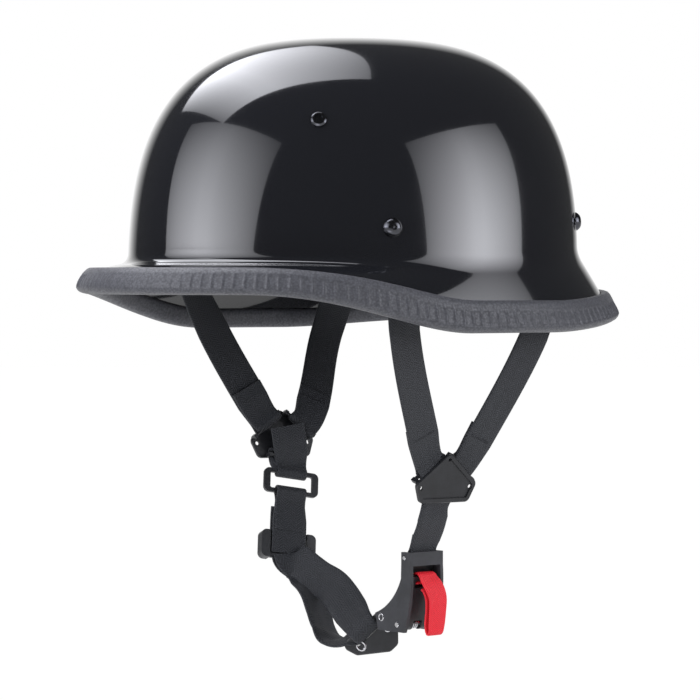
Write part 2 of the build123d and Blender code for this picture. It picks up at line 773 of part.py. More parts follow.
def make_loop():
    # one band: down the inner layer, round the bar of the tongue plate and back up the outer layer
    run, out = chin_frame()
    start = slide_at + run * (slide_height * strap_end_share + join_gap)
    plane = tongue_plane()
    bar = plane.from_local_coords(Vector(loop_shift, (plate_slot + plate_bar) / 2, 0))
    radius = (plate_bar ** 2 + plate_thick ** 2) ** 0.5 / 2 + eye_gap + web_thick / 2
    inward = out * -1
    lead = run * loop_lead
    stations = [(start, inward, web_width, web_thick), (start + lead, inward, web_width, web_thick)]
    stations += [(hung(shares), plane.z_dir, web_width, web_thick) for shares in loop_inner_shares]
    for index in range(wrap_count):
        angle = pi * (0.5 - index / (wrap_count - 1))
        spoke = plane.z_dir * sin(angle) - plane.y_dir * cos(angle)
        stations.append((bar + spoke * radius, spoke, loop_width, web_thick))
    stations += [(hung(shares), plane.z_dir * -1, web_width, web_thick) for shares in loop_outer_shares]
    finish = start + out * slide_layer()
    stations += [(finish + lead, out, web_width, web_thick), (finish, out, web_width, web_thick)]
    return band(stations, first=run, last=run * -1)


def buckle_point(polar, across=0.0):
    # a point of the buckle from its radius and angle about the centre of the track
    radius, angle = polar
    lean = radians(angle)
    return track_centre + Vector(radius * sin(lean), across, -radius * cos(lean))


def side_profile(points):
    return make_face(Polyline(*points, close=True))


def across_buckle(face, low, high):
    # a profile drawn in x and z, made solid between two places across the buckle
    plane = Plane(origin=(0, track_centre.Y + high, 0), x_dir=(1, 0, 0), z_dir=(0, -1, 0))
    return extrude(plane * face, high - low)


def arc_band(inner, outer, low_angle, high_angle):
    # a ring sector about the track's centre, in the buckle's side view
    low = radians(low_angle - 90)
    high = radians(high_angle - 90)
    centre = Vector(track_centre.X, track_centre.Z)

    def spot(radius, angle):
        return centre + Vector(radius * cos(angle), radius * sin(angle))
    middle = (low + high) / 2
    edges = [ThreePointArc(spot(inner, low), spot(inner, middle), spot(inner, high)),
             Line(spot(inner, high), spot(outer, high)),
             ThreePointArc(spot(outer, high), spot(outer, middle), spot(outer, low)),
             Line(spot(outer, low), spot(inner, low))]
    return make_face(edges)


def buckle_outline():
    # the side wall: the track's arc, the mouth, the foot, and the gently bowed outer edge
    low = radians(mouth_angle - 90)
    high = radians(floor_end_angle - 90)
    middle = (low + high) / 2
    centre = Vector(track_centre.X, track_centre.Z)
    arc_points = [centre + Vector(cos(a), sin(a)) * track_inner for a in (low, middle, high)]
    neck = Vector(buckle_neck, buckle_neck_height)
    top_left = Vector(buckle_neck, buckle_top_height)
    top_right = Vector(buckle_outer - buckle_wall / 2, buckle_top_height)
    belly = Vector(buckle_outer, (buckle_top_height + buckle_foot_height) / 2)
    foot = Vector(buckle_foot, buckle_foot_height)
    mouth = Vector(arc_points[0].X + buckle_wall, buckle_foot_height)
    edges = [ThreePointArc(*arc_points), Line(arc_points[2], neck), Line(neck, top_left), Line(top_left, top_right),
             ThreePointArc(top_right, belly, foot), Line(foot, mouth), Line(mouth, arc_points[0])]
    return make_face(edges)


def buckle_hole(polar, size):
    centre = buckle_point(polar)
    rod = Cylinder(size / 2 + pin_clearance, 2 * buckle_width)
    return Plane(origin=centre, x_dir=(1, 0, 0), z_dir=(0, -1, 0)) * rod


def make_buckle_body():
    # two side walls on a curved floor, tied by a bridge above the lever
    half = buckle_width / 2
    outline = buckle_outline()
    floor = arc_band(track_inner, track_inner + floor_thick, mouth_angle, floor_end_angle)
    solid = across_buckle(outline, -half, -half + buckle_wall) + across_buckle(outline, half - buckle_wall, half)
    solid += across_buckle(floor, -half, half)
    bridge = Rectangle(bridge_thick, bridge_height, align=(Align.MAX, Align.MAX))
    bridge = Pos(buckle_outer, buckle_top_height) * bridge
    solid += across_buckle(bridge, -half, half)
    return solid - buckle_hole(pin_place, pin_size) - buckle_hole(bar_place, bar_size)


def rod(polar, size, length):
    # a plain pin with small chamfers, right across the buckle
    solid = chamfer(Cylinder(size / 2, length).edges(), size * pin_break_share)
    return Plane(origin=buckle_point(polar), x_dir=(1, 0, 0), z_dir=(0, -1, 0)) * solid


def make_strip():
    # the toothed strip: an arc that runs in the track, with saw teeth on its outer face
    low = track_inner + floor_thick + track_gap
    half = strip_width / 2
    solid = across_buckle(arc_band(low, low + strip_thick, strip_start_angle, strip_end_angle), -half, half)
    step = degrees(tooth_pitch / (low + strip_thick))
    count = int((strip_end_angle - tooth_stop_angle - mouth_angle - tooth_start_angle) / step)
    centre = Vector(track_centre.X, track_centre.Z)
    for index in range(count):
        start = mouth_angle + tooth_start_angle + index * step
        finish = start + step * tooth_run_share
        corners = [(low + strip_thick / 2, start), (low + strip_thick, start),
                   (low + strip_thick + tooth_height, start + step * tooth_rise_share),
                   (low + strip_thick, finish), (low + strip_thick / 2, finish)]
        points = [centre + Vector(sin(radians(a)), -cos(radians(a))) * r for r, a in corners]
        solid += across_buckle(side_profile(points), -half + tooth_margin, half - tooth_margin)
    return solid


def make_tongue():
    # the toothed strip and the plate that carries the webbing loop, one moulding
    plane = tongue_plane()
    top = plate_slot / 2 + plate_bar
    points = [(-plate_left, top), (plate_right, top),
              (plate_right, -plate_deep * plate_side_share), (plate_right / 2, -plate_deep),
              (0, -plate_deep), (-plate_left + plate_corner, -plate_deep * plate_left_share)]
    outline = make_face(Polyline(*points, close=True))
    outline = fillet(outline.vertices(), plate_corner)
    plate = extrude(outline, plate_thick / 2, both=True)
    plate = chamfer(plate.edges().group_by(Axis.Z)[-1], plate_thick * edge_break_share)
    plate -= extrude(SlotOverall(plate_slot_length, plate_slot), plate_thick, both=True)
    return make_strip() + plane * plate


def make_tongue_rivet():
    plane = tongue_plane()
    place = Pos(plate_right - plate_rivet_size, -plate_deep * plate_rivet_share, plate_thick / 2)
    dome_piece = Cylinder(plate_rivet_size / 2, plate_rivet_height, align=(Align.CENTER, Align.CENTER, Align.MIN))
    dome_piece = fillet(dome_piece.edges().group_by(Axis.Z)[-1], plate_rivet_height * plate_rivet_round_share)
    return plane * (place * dome_piece)


def lever_frame():
    # from the hub at the pin toward the free end near the bridge, in the buckle's side view
    hub = buckle_point(pin_place)
    tip = Vector(buckle_outer - lever_thick / 2 - bridge_thick / 2, track_centre.Y, lever_tip_height)
    return hub, tip


def make_lever():
    # hub lugs on the pin, an arm up to the free end, a pawl nose to the teeth and a window for the ribbon
    hub, tip = lever_frame()
    run = (tip - hub).normalized()
    side = Vector(run.Z, 0, -run.X)
    nose_radius = track_inner + floor_thick + track_gap + strip_thick + tooth_height + nose_lift
    nose = buckle_point((nose_radius, nose_angle))
    heel = buckle_point((nose_radius + lever_thick, nose_angle - nose_back_angle))
    waist = hub + (tip - hub) * nose_arm_share
    corners = [hub - side * (lever_hub / 2), hub + side * (lever_hub / 2), tip + side * (lever_thick / 2),
               tip - side * (lever_thick / 2), waist - side * (lever_thick / 2), nose, heel]
    profile = side_profile([(corner.X, corner.Z) for corner in corners])
    profile += Pos(hub.X, hub.Z) * Circle(lever_hub / 2)
    solid = across_buckle(profile, -lever_width / 2, lever_width / 2)
    lean = degrees(atan2(run.Z, run.X))
    middle = tip - run * (ribbon_bar + ribbon_window / 2)
    window = Pos(middle.X, middle.Z) * Rot(0, 0, lean) * Rectangle(ribbon_window, through_share * lever_thick)
    reach = ribbon_width / 2 + web_pair
    solid -= across_buckle(window, -reach, reach)
    spring_room = spring_turns * spring_pitch / 2 + spring_wire
    solid -= across_buckle(Pos(hub.X, hub.Z) * Circle(lever_hub / 2 + spring_wire), -spring_room, spring_room)
    return solid - buckle_hole(pin_place, pin_size)


def ribbon_bar_place():
    # the middle of the bar at the lever's free end
    hub, tip = lever_frame()
    return tip - (tip - hub).normalized() * (ribbon_bar / 2)


def make_ribbon():
    # a folded loop of ribbon sewn round the lever's end bar, hanging down its outer side
    bar = ribbon_bar_place()
    inner = (ribbon_bar ** 2 + lever_thick ** 2) ** 0.5 / 2 + eye_gap
    outer = inner + ribbon_thick
    loop_width = 2 * ribbon_thick + ribbon_gap
    hang = Pos(bar.X + inner + loop_width / 2, bar.Z - ribbon_length / 2 + ribbon_thick)
    profile = Pos(bar.X, bar.Z) * Circle(outer)
    profile += hang * Rot(0, 0, 90) * SlotOverall(ribbon_length, loop_width)
    profile -= hang * Rot(0, 0, 90) * SlotOverall(ribbon_length - 2 * ribbon_thick, ribbon_gap)
    profile -= Pos(bar.X, bar.Z) * Circle(inner)
    return across_buckle(profile, -ribbon_width / 2, ribbon_width / 2)


def make_spring():
    # a torsion coil on the pin, between the lever's two lugs
    radius = pin_size / 2 + spring_room_gap + spring_wire / 2
    height = spring_pitch * spring_turns
    count = spring_turns * spring_steps
    sections = []
    for index in range(count + 1):
        turn = 2 * pi * index / spring_steps
        place = Vector(radius * cos(turn), radius * sin(turn), height * (index / count - 0.5))
        run = Vector(-sin(turn), cos(turn), spring_pitch / (2 * pi * radius))
        plane = Plane(origin=place, x_dir=(cos(turn), sin(turn), 0), z_dir=run)
        sections.append((plane * RegularPolygon(spring_wire / 2, spring_sides)).wire())
    coil = Solid.make_loft(sections, ruled=True)
    return Plane(origin=buckle_point(pin_place), x_dir=(1, 0, 0), z_dir=(0, -1, 0)) * coil


def mirrored(rivet):
    return -rivet[0], rivet[1]


def group(solids):
    return Compound(children=[solid for piece in solids for solid in piece.solids()])


def build():
    front_crease = front_crease_share * pi
    rear_crease = rear_crease_share * pi
    right_front_rivet = mirrored(left_front_rivet)
    right_rear_rivet = mirrored(left_rear_rivet)
    washer_depth = shell_wall + web_gap + web_thick + clench_gap
    return {
        "outer_shell": make_shell(),
        "edge_trim": make_trim(),
        "foam_liner": make_foam(),
        "crown_pad": make_crown_pad(),
        "front_pad": make_pad(*front_pad_shares),
        "rear_pad": make_pad(*rear_pad_shares),
        "left_side_pad": make_pad(*side_pad_shares),
        "right_side_pad": make_pad(-side_pad_shares[0], *side_pad_shares[1:]),
        "strap_rivets": group([make_strap_rivet(place) for place in strap_rivet_places]),
        "strap_washers": group([make_washer(place, washer_depth) for place in strap_rivet_places]),
        "upper_rivets": group([make_stud(place) for place in stud_places]),
        "upper_washers": group([make_washer(place, shell_wall + clench_gap) for place in stud_places]),
        "left_front_strap": make_leg(left_front_rivet, front_crease, near_front_exit_shares, near_divider, 1, 0),
        "left_rear_strap": make_leg(left_rear_rivet, rear_crease, near_rear_exit_shares, near_divider, 1, 1),
        "right_front_strap": make_leg(right_front_rivet, -front_crease, far_front_exit_shares, far_divider, -1, 1),
        "right_rear_strap": make_leg(right_rear_rivet, -rear_crease, far_rear_exit_shares, far_divider, -1, 0),
        "left_divider": make_divider(near_divider, 1),
        "right_divider": make_divider(far_divider, -1),
        "left_lower_strap": make_lower_strap(),
        "link_strap": make_upper_link_strap(),
        "strap_link": make_link(),
        "right_chin_strap": make_chin_strap(),
        "strap_tail": make_strap_tail(),
        "length_slide": make_slide(),
        "chin_loop": make_loop(),
        "buckle_body": make_buckle_body(),
        "buckle_strap_bar": rod(bar_place, bar_size, buckle_width + pin_stand),
        "lever_pin": rod(pin_place, pin_size, buckle_width + pin_stand),
        "lever_spring": make_spring(),
        "release_lever": make_lever(),
        "pull_ribbon": make_ribbon(),
        "buckle_tongue": make_tongue(),
        "tongue_rivet": make_tongue_rivet(),
    }


def save(pieces):
    os.makedirs("parts", exist_ok=True)
    seat = Location((0, -crown_shift, -seat_height))
    for name, piece in pieces.items():
        export_step(piece.moved(seat), f"parts/{name}.step")


save(build())
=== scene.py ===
# Half shell motorcycle helmet: the looks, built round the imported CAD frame.
# Shapes are worked out in millimetres, with heights counted from the ear edge of the brim,
# and toFrame moves them to the CAD frame, whose origin is the crown seat.
import json
import math
import bmesh
import bpy
import numpy as np
from mathutils import Matrix, Vector


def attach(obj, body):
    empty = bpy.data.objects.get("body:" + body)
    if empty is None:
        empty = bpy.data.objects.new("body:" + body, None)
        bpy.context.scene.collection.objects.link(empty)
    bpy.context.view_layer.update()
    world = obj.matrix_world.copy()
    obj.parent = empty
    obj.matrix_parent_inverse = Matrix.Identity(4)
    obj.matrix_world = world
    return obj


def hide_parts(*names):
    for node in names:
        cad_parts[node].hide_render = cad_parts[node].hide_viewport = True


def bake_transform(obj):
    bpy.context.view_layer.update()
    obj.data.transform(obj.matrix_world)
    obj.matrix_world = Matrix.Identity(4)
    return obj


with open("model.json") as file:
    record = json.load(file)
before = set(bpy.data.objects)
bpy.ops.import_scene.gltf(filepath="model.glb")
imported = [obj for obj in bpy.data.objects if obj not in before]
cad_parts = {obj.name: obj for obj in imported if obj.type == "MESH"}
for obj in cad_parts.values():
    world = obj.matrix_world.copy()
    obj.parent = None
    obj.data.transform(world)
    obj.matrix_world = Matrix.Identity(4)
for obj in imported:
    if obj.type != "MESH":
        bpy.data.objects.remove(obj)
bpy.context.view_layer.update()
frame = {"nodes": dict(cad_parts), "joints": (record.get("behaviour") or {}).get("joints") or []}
seatShift = np.array([0.0, -14.5, -124.1])
up = np.array([0.0, 0.0, 1.0])
tinyStep = 0.001
print("frame loaded")


def toFrame(points):
    # millimetres from the ear edge, to metres from the crown seat
    return (np.asarray(points, float) + seatShift) * 0.001


def unit(vectors):
    # each vector over its own length
    return vectors / np.linalg.norm(vectors, axis=-1, keepdims=True)


def paired(turn, share):
    # a turn and a share as two arrays of one shape
    return np.broadcast_arrays(np.asarray(turn, float), np.asarray(share, float))


def fullTurn(count):
    # even angles once round, without the last
    return np.linspace(0, 2 * math.pi, count, endpoint=False)


def arcLengths(points):
    # how far along the line each of its points lies
    return np.concatenate([[0], np.cumsum(np.linalg.norm(np.diff(points, axis=0), axis=-1))])


def smoothStep(low, high, value):
    # 3s squared less 2s cubed, with s the way from low to high
    share = np.clip((value - low) / (high - low), 0, 1)
    return share * share * (3 - 2 * share)


def sceneObject(name, data):
    # a new object of the scene that shows this data
    thing = bpy.data.objects.new(name, data)
    bpy.context.scene.collection.objects.link(thing)
    return thing


def faceOutward(piece):
    # turns the faces of a closed piece outward, after joining points that coincide
    work = bmesh.new()
    work.from_mesh(piece.data)
    bmesh.ops.remove_doubles(work, verts=work.verts, dist=1e-7)
    bmesh.ops.recalc_face_normals(work, faces=work.faces)
    work.to_mesh(piece.data)
    work.free()
    return piece


def gridMesh(name, grid, wrapRows=False, wrapColumns=False, poles=False, caps=False, uv=None,
             smooth=True, sharp=None):
    # a closed piece from a grid of points, rows by columns, joined into quads; poles closes the first and
    # last row to one point each, caps closes them with a flat face, and uv holds one more row or column
    # where the grid wraps
    grid = np.asarray(grid, float)
    rows, columns = grid.shape[:2]
    index = np.arange(rows * columns).reshape(rows, columns)
    rowIndex = np.arange(rows + wrapRows) % rows
    columnIndex = np.arange(columns + wrapColumns) % columns
    full = index[np.ix_(rowIndex, columnIndex)]
    quads = np.stack([full[:-1, :-1], full[:-1, 1:], full[1:, 1:], full[1:, :-1]], -1).reshape(-1, 4)
    corners = quads.ravel()
    starts = np.arange(len(quads)) * 4
    totals = np.full(len(quads), 4)
    points = grid.reshape(-1, 3)
    if caps:
        first, last = index[0][::-1], index[-1]
        starts = np.append(starts, [len(corners), len(corners) + columns])
        totals = np.append(totals, [columns, columns])
        corners = np.concatenate([corners, first, last])
    if poles:
        ends = np.array([grid[0].mean(0), grid[-1].mean(0)])
        wrapped = index[:, columnIndex]
        pole = np.full(len(columnIndex) - 1, len(points))
        top = np.stack([pole, wrapped[0, 1:], wrapped[0, :-1]], -1)
        low = np.stack([pole + 1, wrapped[-1, :-1], wrapped[-1, 1:]], -1)
        points = np.concatenate([points, ends])
        starts = np.append(starts, len(corners) + 3 * np.arange(len(top) + len(low)))
        totals = np.append(totals, np.full(len(top) + len(low), 3))
        corners = np.concatenate([corners, top.ravel(), low.ravel()])
    mesh = bpy.data.meshes.new(name)
    mesh.vertices.add(len(points))
    mesh.vertices.foreach_set("co", toFrame(points).ravel())
    mesh.loops.add(len(corners))
    mesh.loops.foreach_set("vertex_index", corners.astype(np.int32))
    mesh.polygons.add(len(starts))
    mesh.polygons.foreach_set("loop_start", starts.astype(np.int32))
    mesh.polygons.foreach_set("loop_total", totals.astype(np.int32))
    if uv is not None:
        uv = np.asarray(uv, float)
        values = np.stack([uv[:-1, :-1], uv[:-1, 1:], uv[1:, 1:], uv[1:, :-1]], 2).reshape(-1, 2)
        layer = mesh.uv_layers.new(name="millimetres")
        rest = np.zeros((len(corners) - len(values), 2))
        if caps:
            rest[:] = uv.reshape(-1, 2).mean(0)
        layer.data.foreach_set("uv", np.concatenate([values, rest]).ravel())
    mesh.update(calc_edges=True)
    mesh.validate()
    mesh.polygons.foreach_set("use_smooth", np.full(len(mesh.polygons), smooth))
    if sharp is not None:
        mesh.set_sharp_from_angle(angle=math.radians(sharp))
    return faceOutward(sceneObject(name, mesh))


shell = {
    "halfWidth": 105.0, "halfLength": 130.0, "crownHeight": 157.0, "crownShift": 14.5, "sideTaper": 18.2,
    "wall": 4.0, "egg": 0.072, "square": 2.994, "squareSwing": 0.484,
    # sizes at the front, the ear and the rear
    "crease": (37.0, 36.0, 44.0), "flareOut": (23.4, 12.8, 19.3), "edgeHeight": (23.6, 4.0, 10.3),
    "belly": (0.36, 0.05, 0.02),
    # cosines of the turn between which the ear's size changes to the front's and to the rear's
    "outBlend": (0.0, 0.8, 0.0, 0.9), "edgeBlend": (0.1, 0.85, 0.3, 1.0), "creasePower": 1.5,
    "domeRows": 110, "brimRows": 18, "creaseRows": 10, "columns": 320,
    "firstRow": 0.004, "creaseShares": (0.026, 0.16),
}


def around(turn, sizes, blends):
    # ear, plus S curves toward the front and the rear sizes
    front, ear, rear = sizes
    toFront = smoothStep(blends[0], blends[1], np.cos(turn))
    toRear = smoothStep(blends[2], blends[3], -np.cos(turn))
    return ear + (front - ear) * toFront + (rear - ear) * toRear


def creaseHeight(turn):
    # ear, plus the differences to the front and the rear, each times the cosine of its turn to a power
    front, ear, rear = shell["crease"]
    toFront = np.maximum(np.cos(turn), 0) ** shell["creasePower"]
    toRear = np.maximum(-np.cos(turn), 0) ** shell["creasePower"]
    return ear + (front - ear) * toFront + (rear - ear) * toRear


def dome(turn, share):
    # a superellipse from the crown to the crease, whose power swings with the cosine of the turn, over an
    # ellipse made egg shaped by narrowing it toward the front
    turn, share = paired(turn, share)
    square = shell["square"] + shell["squareSwing"] * np.cos(turn)
    middle = creaseHeight(turn) - shell["sideTaper"]
    low = shell["sideTaper"] / (shell["crownHeight"] - middle)
    rim = (1 - low ** square) ** (1 / square)
    lean = share * np.arctan2(rim, low)
    reach = (np.sin(lean) ** square + np.cos(lean) ** square) ** (-1 / square)
    out, rise = reach * np.sin(lean) / rim, reach * np.cos(lean)
    side = shell["halfWidth"] * np.sin(turn) * (1 - shell["egg"] * np.cos(turn)) * out
    back = -shell["halfLength"] * np.cos(turn) * out + shell["crownShift"] * rise * rise
    return np.stack([side, back, middle + (shell["crownHeight"] - middle) * rise], -1)


def outlineNormal(turn):
    # level and square to the crease's outline, from two points of it a tiny step apart
    run = dome(turn + tinyStep, 1.0) - dome(turn - tinyStep, 1.0)
    return unit(np.stack([run[..., 1], -run[..., 0], np.zeros_like(run[..., 0])], -1))


def flare(turn, share):
    # a three point curve from the crease out and down to the edge of the brim
    turn, share = paired(turn, share)
    out = around(turn, shell["flareOut"], shell["outBlend"])
    foot = dome(turn, 1.0)
    drop = foot[..., 2] - around(turn, shell["edgeHeight"], shell["edgeBlend"])
    belly = around(turn, shell["belly"], shell["outBlend"])
    pull = 2 * share * (1 - share)
    away = pull * (0.5 + belly) * out + share * share * out
    down = pull * (0.5 - belly) * drop + share * share * drop
    return foot + outlineNormal(turn) * away[..., None] - up * down[..., None]


def outward(surface, turn, share):
    # the cross product of two tiny steps along the surface
    turn, share = paired(turn, share)
    run = surface(turn + tinyStep, share) - surface(turn - tinyStep, share)
    fall = surface(turn, np.minimum(share + tinyStep, 1)) - surface(turn, np.maximum(share - tinyStep, 0))
    return unit(np.cross(fall, run))


def under(surface, turn, share, depth):
    # a point of the surface, moved inward by depth against the surface's outward way
    turn, share = paired(turn, share)
    return surface(turn, share) - outward(surface, turn, share) * np.asarray(depth, float)[..., None]


def shellRows(depth):
    # rows of points from the crown to the brim's edge at one depth, with the crease rounded by a
    # three point curve between a point above it and a point below it
    turns = np.linspace(-math.pi, math.pi, shell["columns"], endpoint=False)
    above, below = shell["creaseShares"]
    domeShares = np.linspace(shell["firstRow"], 1 - above, shell["domeRows"])[:, None]
    brimShares = np.linspace(below, 1, shell["brimRows"])[:, None]
    high = under(dome, turns[None], domeShares, depth)
    low = under(flare, turns[None], brimShares, depth)
    upper = outward(dome, turns, 1.0)
    lower = outward(flare, turns, 0.0)
    corner = dome(turns, 1.0) - (upper + lower) * (depth / (1 + (upper * lower).sum(-1)))[:, None]
    mix = np.linspace(0, 1, shell["creaseRows"] + 2)[1:-1, None, None]
    bend = high[-1] * (1 - mix) ** 2 + corner * 2 * mix * (1 - mix) + low[0] * mix ** 2
    return np.concatenate([high, bend, low])


def makeShell():
    # the outer face down to the brim's edge and the inner face back up to the crown
    rows = np.concatenate([shellRows(0.0), shellRows(shell["wall"])[::-1]])
    return gridMesh("gloss_shell", rows, wrapColumns=True, poles=True, sharp=60)


trim = {
    "outerLeg": 13.4, "innerLeg": 9.0, "bulge": 4.2, "innerBulge": 2.8, "ribPitch": 5.6, "ribWidth": 1.3,
    "ribStart": -0.3, "ribStop": 6.7, "recess": 0.7, "columnsPerRib": 10, "smoothFront": (12.0, 26.0),
    "seat": 0.3, "profileStep": 0.5, "ribHeight": 0.85, "frontSink": 0.25, "bandDepth": -2.5, "closing": 2.0,
    "arcSteps": 3001,
    # how far from its start and its stop the sunken band fades in and out
    "startFade": (-0.7, 0.5), "stopFade": (-0.4, 0.7),
}


def brimPoint(turn, climb, depth):
    # climb millimetres up the brim from its edge, depth millimetres under its outer face
    length = (np.linalg.norm(flare(turn, 1.0) - flare(turn, 0.5), axis=-1)
              + np.linalg.norm(flare(turn, 0.5) - flare(turn, 0.0), axis=-1))
    down = unit(flare(turn, 1.0) - flare(turn, 1 - tinyStep))
    share = 1 - np.clip(climb / length, 0, 1)
    return under(flare, turn, share, depth) + down * np.maximum(-climb, 0)[..., None]


def evenTurns(count):
    # turns at which the brim's edge is cut into even lengths
    turns = np.linspace(-math.pi, math.pi, trim["arcSteps"])
    arc = arcLengths(flare(turns, 1.0))
    marks = np.linspace(0, arc[-1], count, endpoint=False)
    return np.interp(marks, arc, turns), marks, arc[-1]


def makeTrim():
    # a closed profile of climb and depth, carried round the brim: a plump roll at the top, a sunken
    # band crossed by thin ribs below it, a plain roll round the edge and a short inner leg; its knots run
    # down the outer face, round the edge, up the inner leg and back along the brim
    outer, inner, seat = trim["outerLeg"], trim["innerLeg"], trim["seat"]
    back, bulge = shell["wall"] + trim["innerBulge"], trim["bulge"]
    knots = np.array([
        (outer, -seat), (13.3, -1.6), (12.8, -2.9), (11.8, -3.8), (10.4, -bulge), (9.0, -bulge),
        (7.4, -bulge), (5.0, -bulge), (2.5, -bulge), (0.6, -4.1), (-0.7, -3.7), (-1.7, -2.6), (-2.3, -1.2),
        (-2.4, 0.4), (-2.3, 2.4), (-1.8, 4.4), (-0.6, 6.1), (1.4, back), (4.0, back), (6.4, back - 0.4),
        (8.4, back - 1.4), (inner, back - 2.2), (inner, shell["wall"] + seat), (4.5, shell["wall"] + seat),
        (-seat, shell["wall"] + seat), (-seat, -seat), (5.0, -seat), (10.0, -seat),
    ])
    fine = []
    for start, stop in zip(knots, np.roll(knots, -1, axis=0)):
        # only the outer face, which the ribs cross, is cut fine
        outerFace = start[1] < -1 and start[0] > -1
        count = max(1, int(np.linalg.norm(stop - start) / trim["profileStep"])) if outerFace else 2
        share = np.arange(count)[:, None] / count
        fine.append(start + (stop - start) * share)
    profile = np.concatenate(fine)
    climb, depth = profile[:, 0], profile[:, 1]
    ribs = int(round(evenTurns(trim["columnsPerRib"])[2] / trim["ribPitch"]))
    turns, marks, whole = evenTurns(ribs * trim["columnsPerRib"])
    phase = (marks / whole * ribs) % 1.0
    # a rib is a bell curve of the distance to its middle; toward the front the band grows shallow
    ridge = np.exp(-((np.minimum(phase, 1 - phase) * whole / ribs / (trim["ribWidth"] / 2)) ** 2))
    startLow, startHigh = (trim["ribStart"] + fade for fade in trim["startFade"])
    stopLow, stopHigh = (trim["ribStop"] + fade for fade in trim["stopFade"])
    band = smoothStep(startLow, startHigh, climb)
    band *= 1 - smoothStep(stopLow, stopHigh, climb)
    band *= depth < trim["bandDepth"]
    plain = smoothStep(*np.radians(trim["smoothFront"]), np.abs(turns))
    shallow = trim["frontSink"] + (1 - trim["frontSink"]) * plain
    sink = trim["recess"] * band[None, :] * ((1 - trim["ribHeight"] * ridge) * shallow)[:, None]
    grid = brimPoint(turns[:, None], climb[None, :] + 0 * turns[:, None], depth[None, :] + sink)
    across = arcLengths(profile)
    across = np.append(across, across[-1] + trim["closing"])
    along = np.append(marks, whole)
    uv = np.stack(np.meshgrid(across, along), -1)
    return gridMesh("brim_trim", grid, wrapRows=True, wrapColumns=True, uv=uv)


pads = {
    "thick": 7.0, "crownThick": 8.0, "start": 24.9, "crownShare": 0.3,
    "side": (0.25, 0.075, 0.78, 0.13), "front": (0.0, 0.11, 0.8, 0.12), "rear": (0.5, 0.11, 0.76, 0.13),
    "rings": 26, "columns": 96, "backRings": 12, "middle": 0.02, "backRim": 0.97, "faceRim": 0.965,
    "corner": 4, "crownPower": 6, "seam": 0.85, "seamWidth": 0.02, "seamDepth": 0.22,
    # depths as shares of the thickness, and the rim as pairs of size and depth
    "backDepth": 0.05, "faceDepth": 0.5, "rim": ((0.99, 0.18), (1.0, 0.34), (0.99, 0.48)),
}


def padGrid(thick):
    # rings from the middle of the back out over the rim and in to the middle of the face: the depth is the
    # S curve of the root of one less size to a power, less a bell curve where the cover is sewn
    rim = np.array(pads["rim"])
    size = np.concatenate([np.linspace(pads["middle"], pads["backRim"], pads["backRings"]), rim[:, 0],
                           np.linspace(pads["faceRim"], pads["middle"], pads["rings"])])
    order, faceStart = np.arange(len(size)), pads["backRings"] + len(rim)
    face = smoothStep(0.0, 1.0, np.sqrt(np.clip(1 - size ** pads["crownPower"], 0, 1)))
    crowned = pads["faceDepth"] + (1 - pads["faceDepth"]) * face
    depth = np.where(order < pads["backRings"], pads["backDepth"], crowned)
    depth[pads["backRings"]:faceStart] = rim[:, 1]
    bell = np.exp(-((size - pads["seam"]) / pads["seamWidth"]) ** 2)
    depth = depth - pads["seamDepth"] * bell * (order > faceStart)
    return size[:, None], (depth * thick)[:, None]


def makeSidePad(name, place):
    # a square with round corners, laid on the dome's inner side by turn and share
    turnMiddle, turnReach, shareMiddle, shareReach = place
    angle = fullTurn(pads["columns"])[None]
    size, depth = padGrid(pads["thick"])
    corner = pads["corner"]
    stretch = (np.abs(np.cos(angle)) ** corner + np.abs(np.sin(angle)) ** corner) ** (-1 / corner)
    turn = 2 * math.pi * (turnMiddle + turnReach * size * stretch * np.cos(angle))
    share = shareMiddle + shareReach * size * stretch * np.sin(angle)
    grid = under(dome, turn, share, pads["start"] + depth + 0 * turn)
    return gridMesh(name, grid, wrapColumns=True, poles=True)


def makeCrownPad():
    # a cushion on the dome's inner side, from the crown down to one share all round
    angle = fullTurn(pads["columns"])[None]
    size, depth = padGrid(pads["crownThick"])
    grid = under(dome, angle, size * pads["crownShare"], pads["start"] + depth + 0 * angle)
    return gridMesh("crown_cushion", grid, wrapColumns=True, poles=True)


webbing = {
    "width": 20.0, "thick": 1.4, "gap": 0.5, "eyeWidth": 17.4, "eyeGap": 0.35, "eyeShare": 0.6, "steps": 14,
    "tail": 16.0, "edgePoints": 7, "facePoints": 9, "foldLift": 0.06, "foldReach": 2.6,
    "foldSweep": (48, 312, 9),
}


def station(place, face, width=webbing["width"], thick=webbing["thick"]):
    # one place on a band's line: its centre, the way it faces, its width and its thickness
    return place, face, width, thick


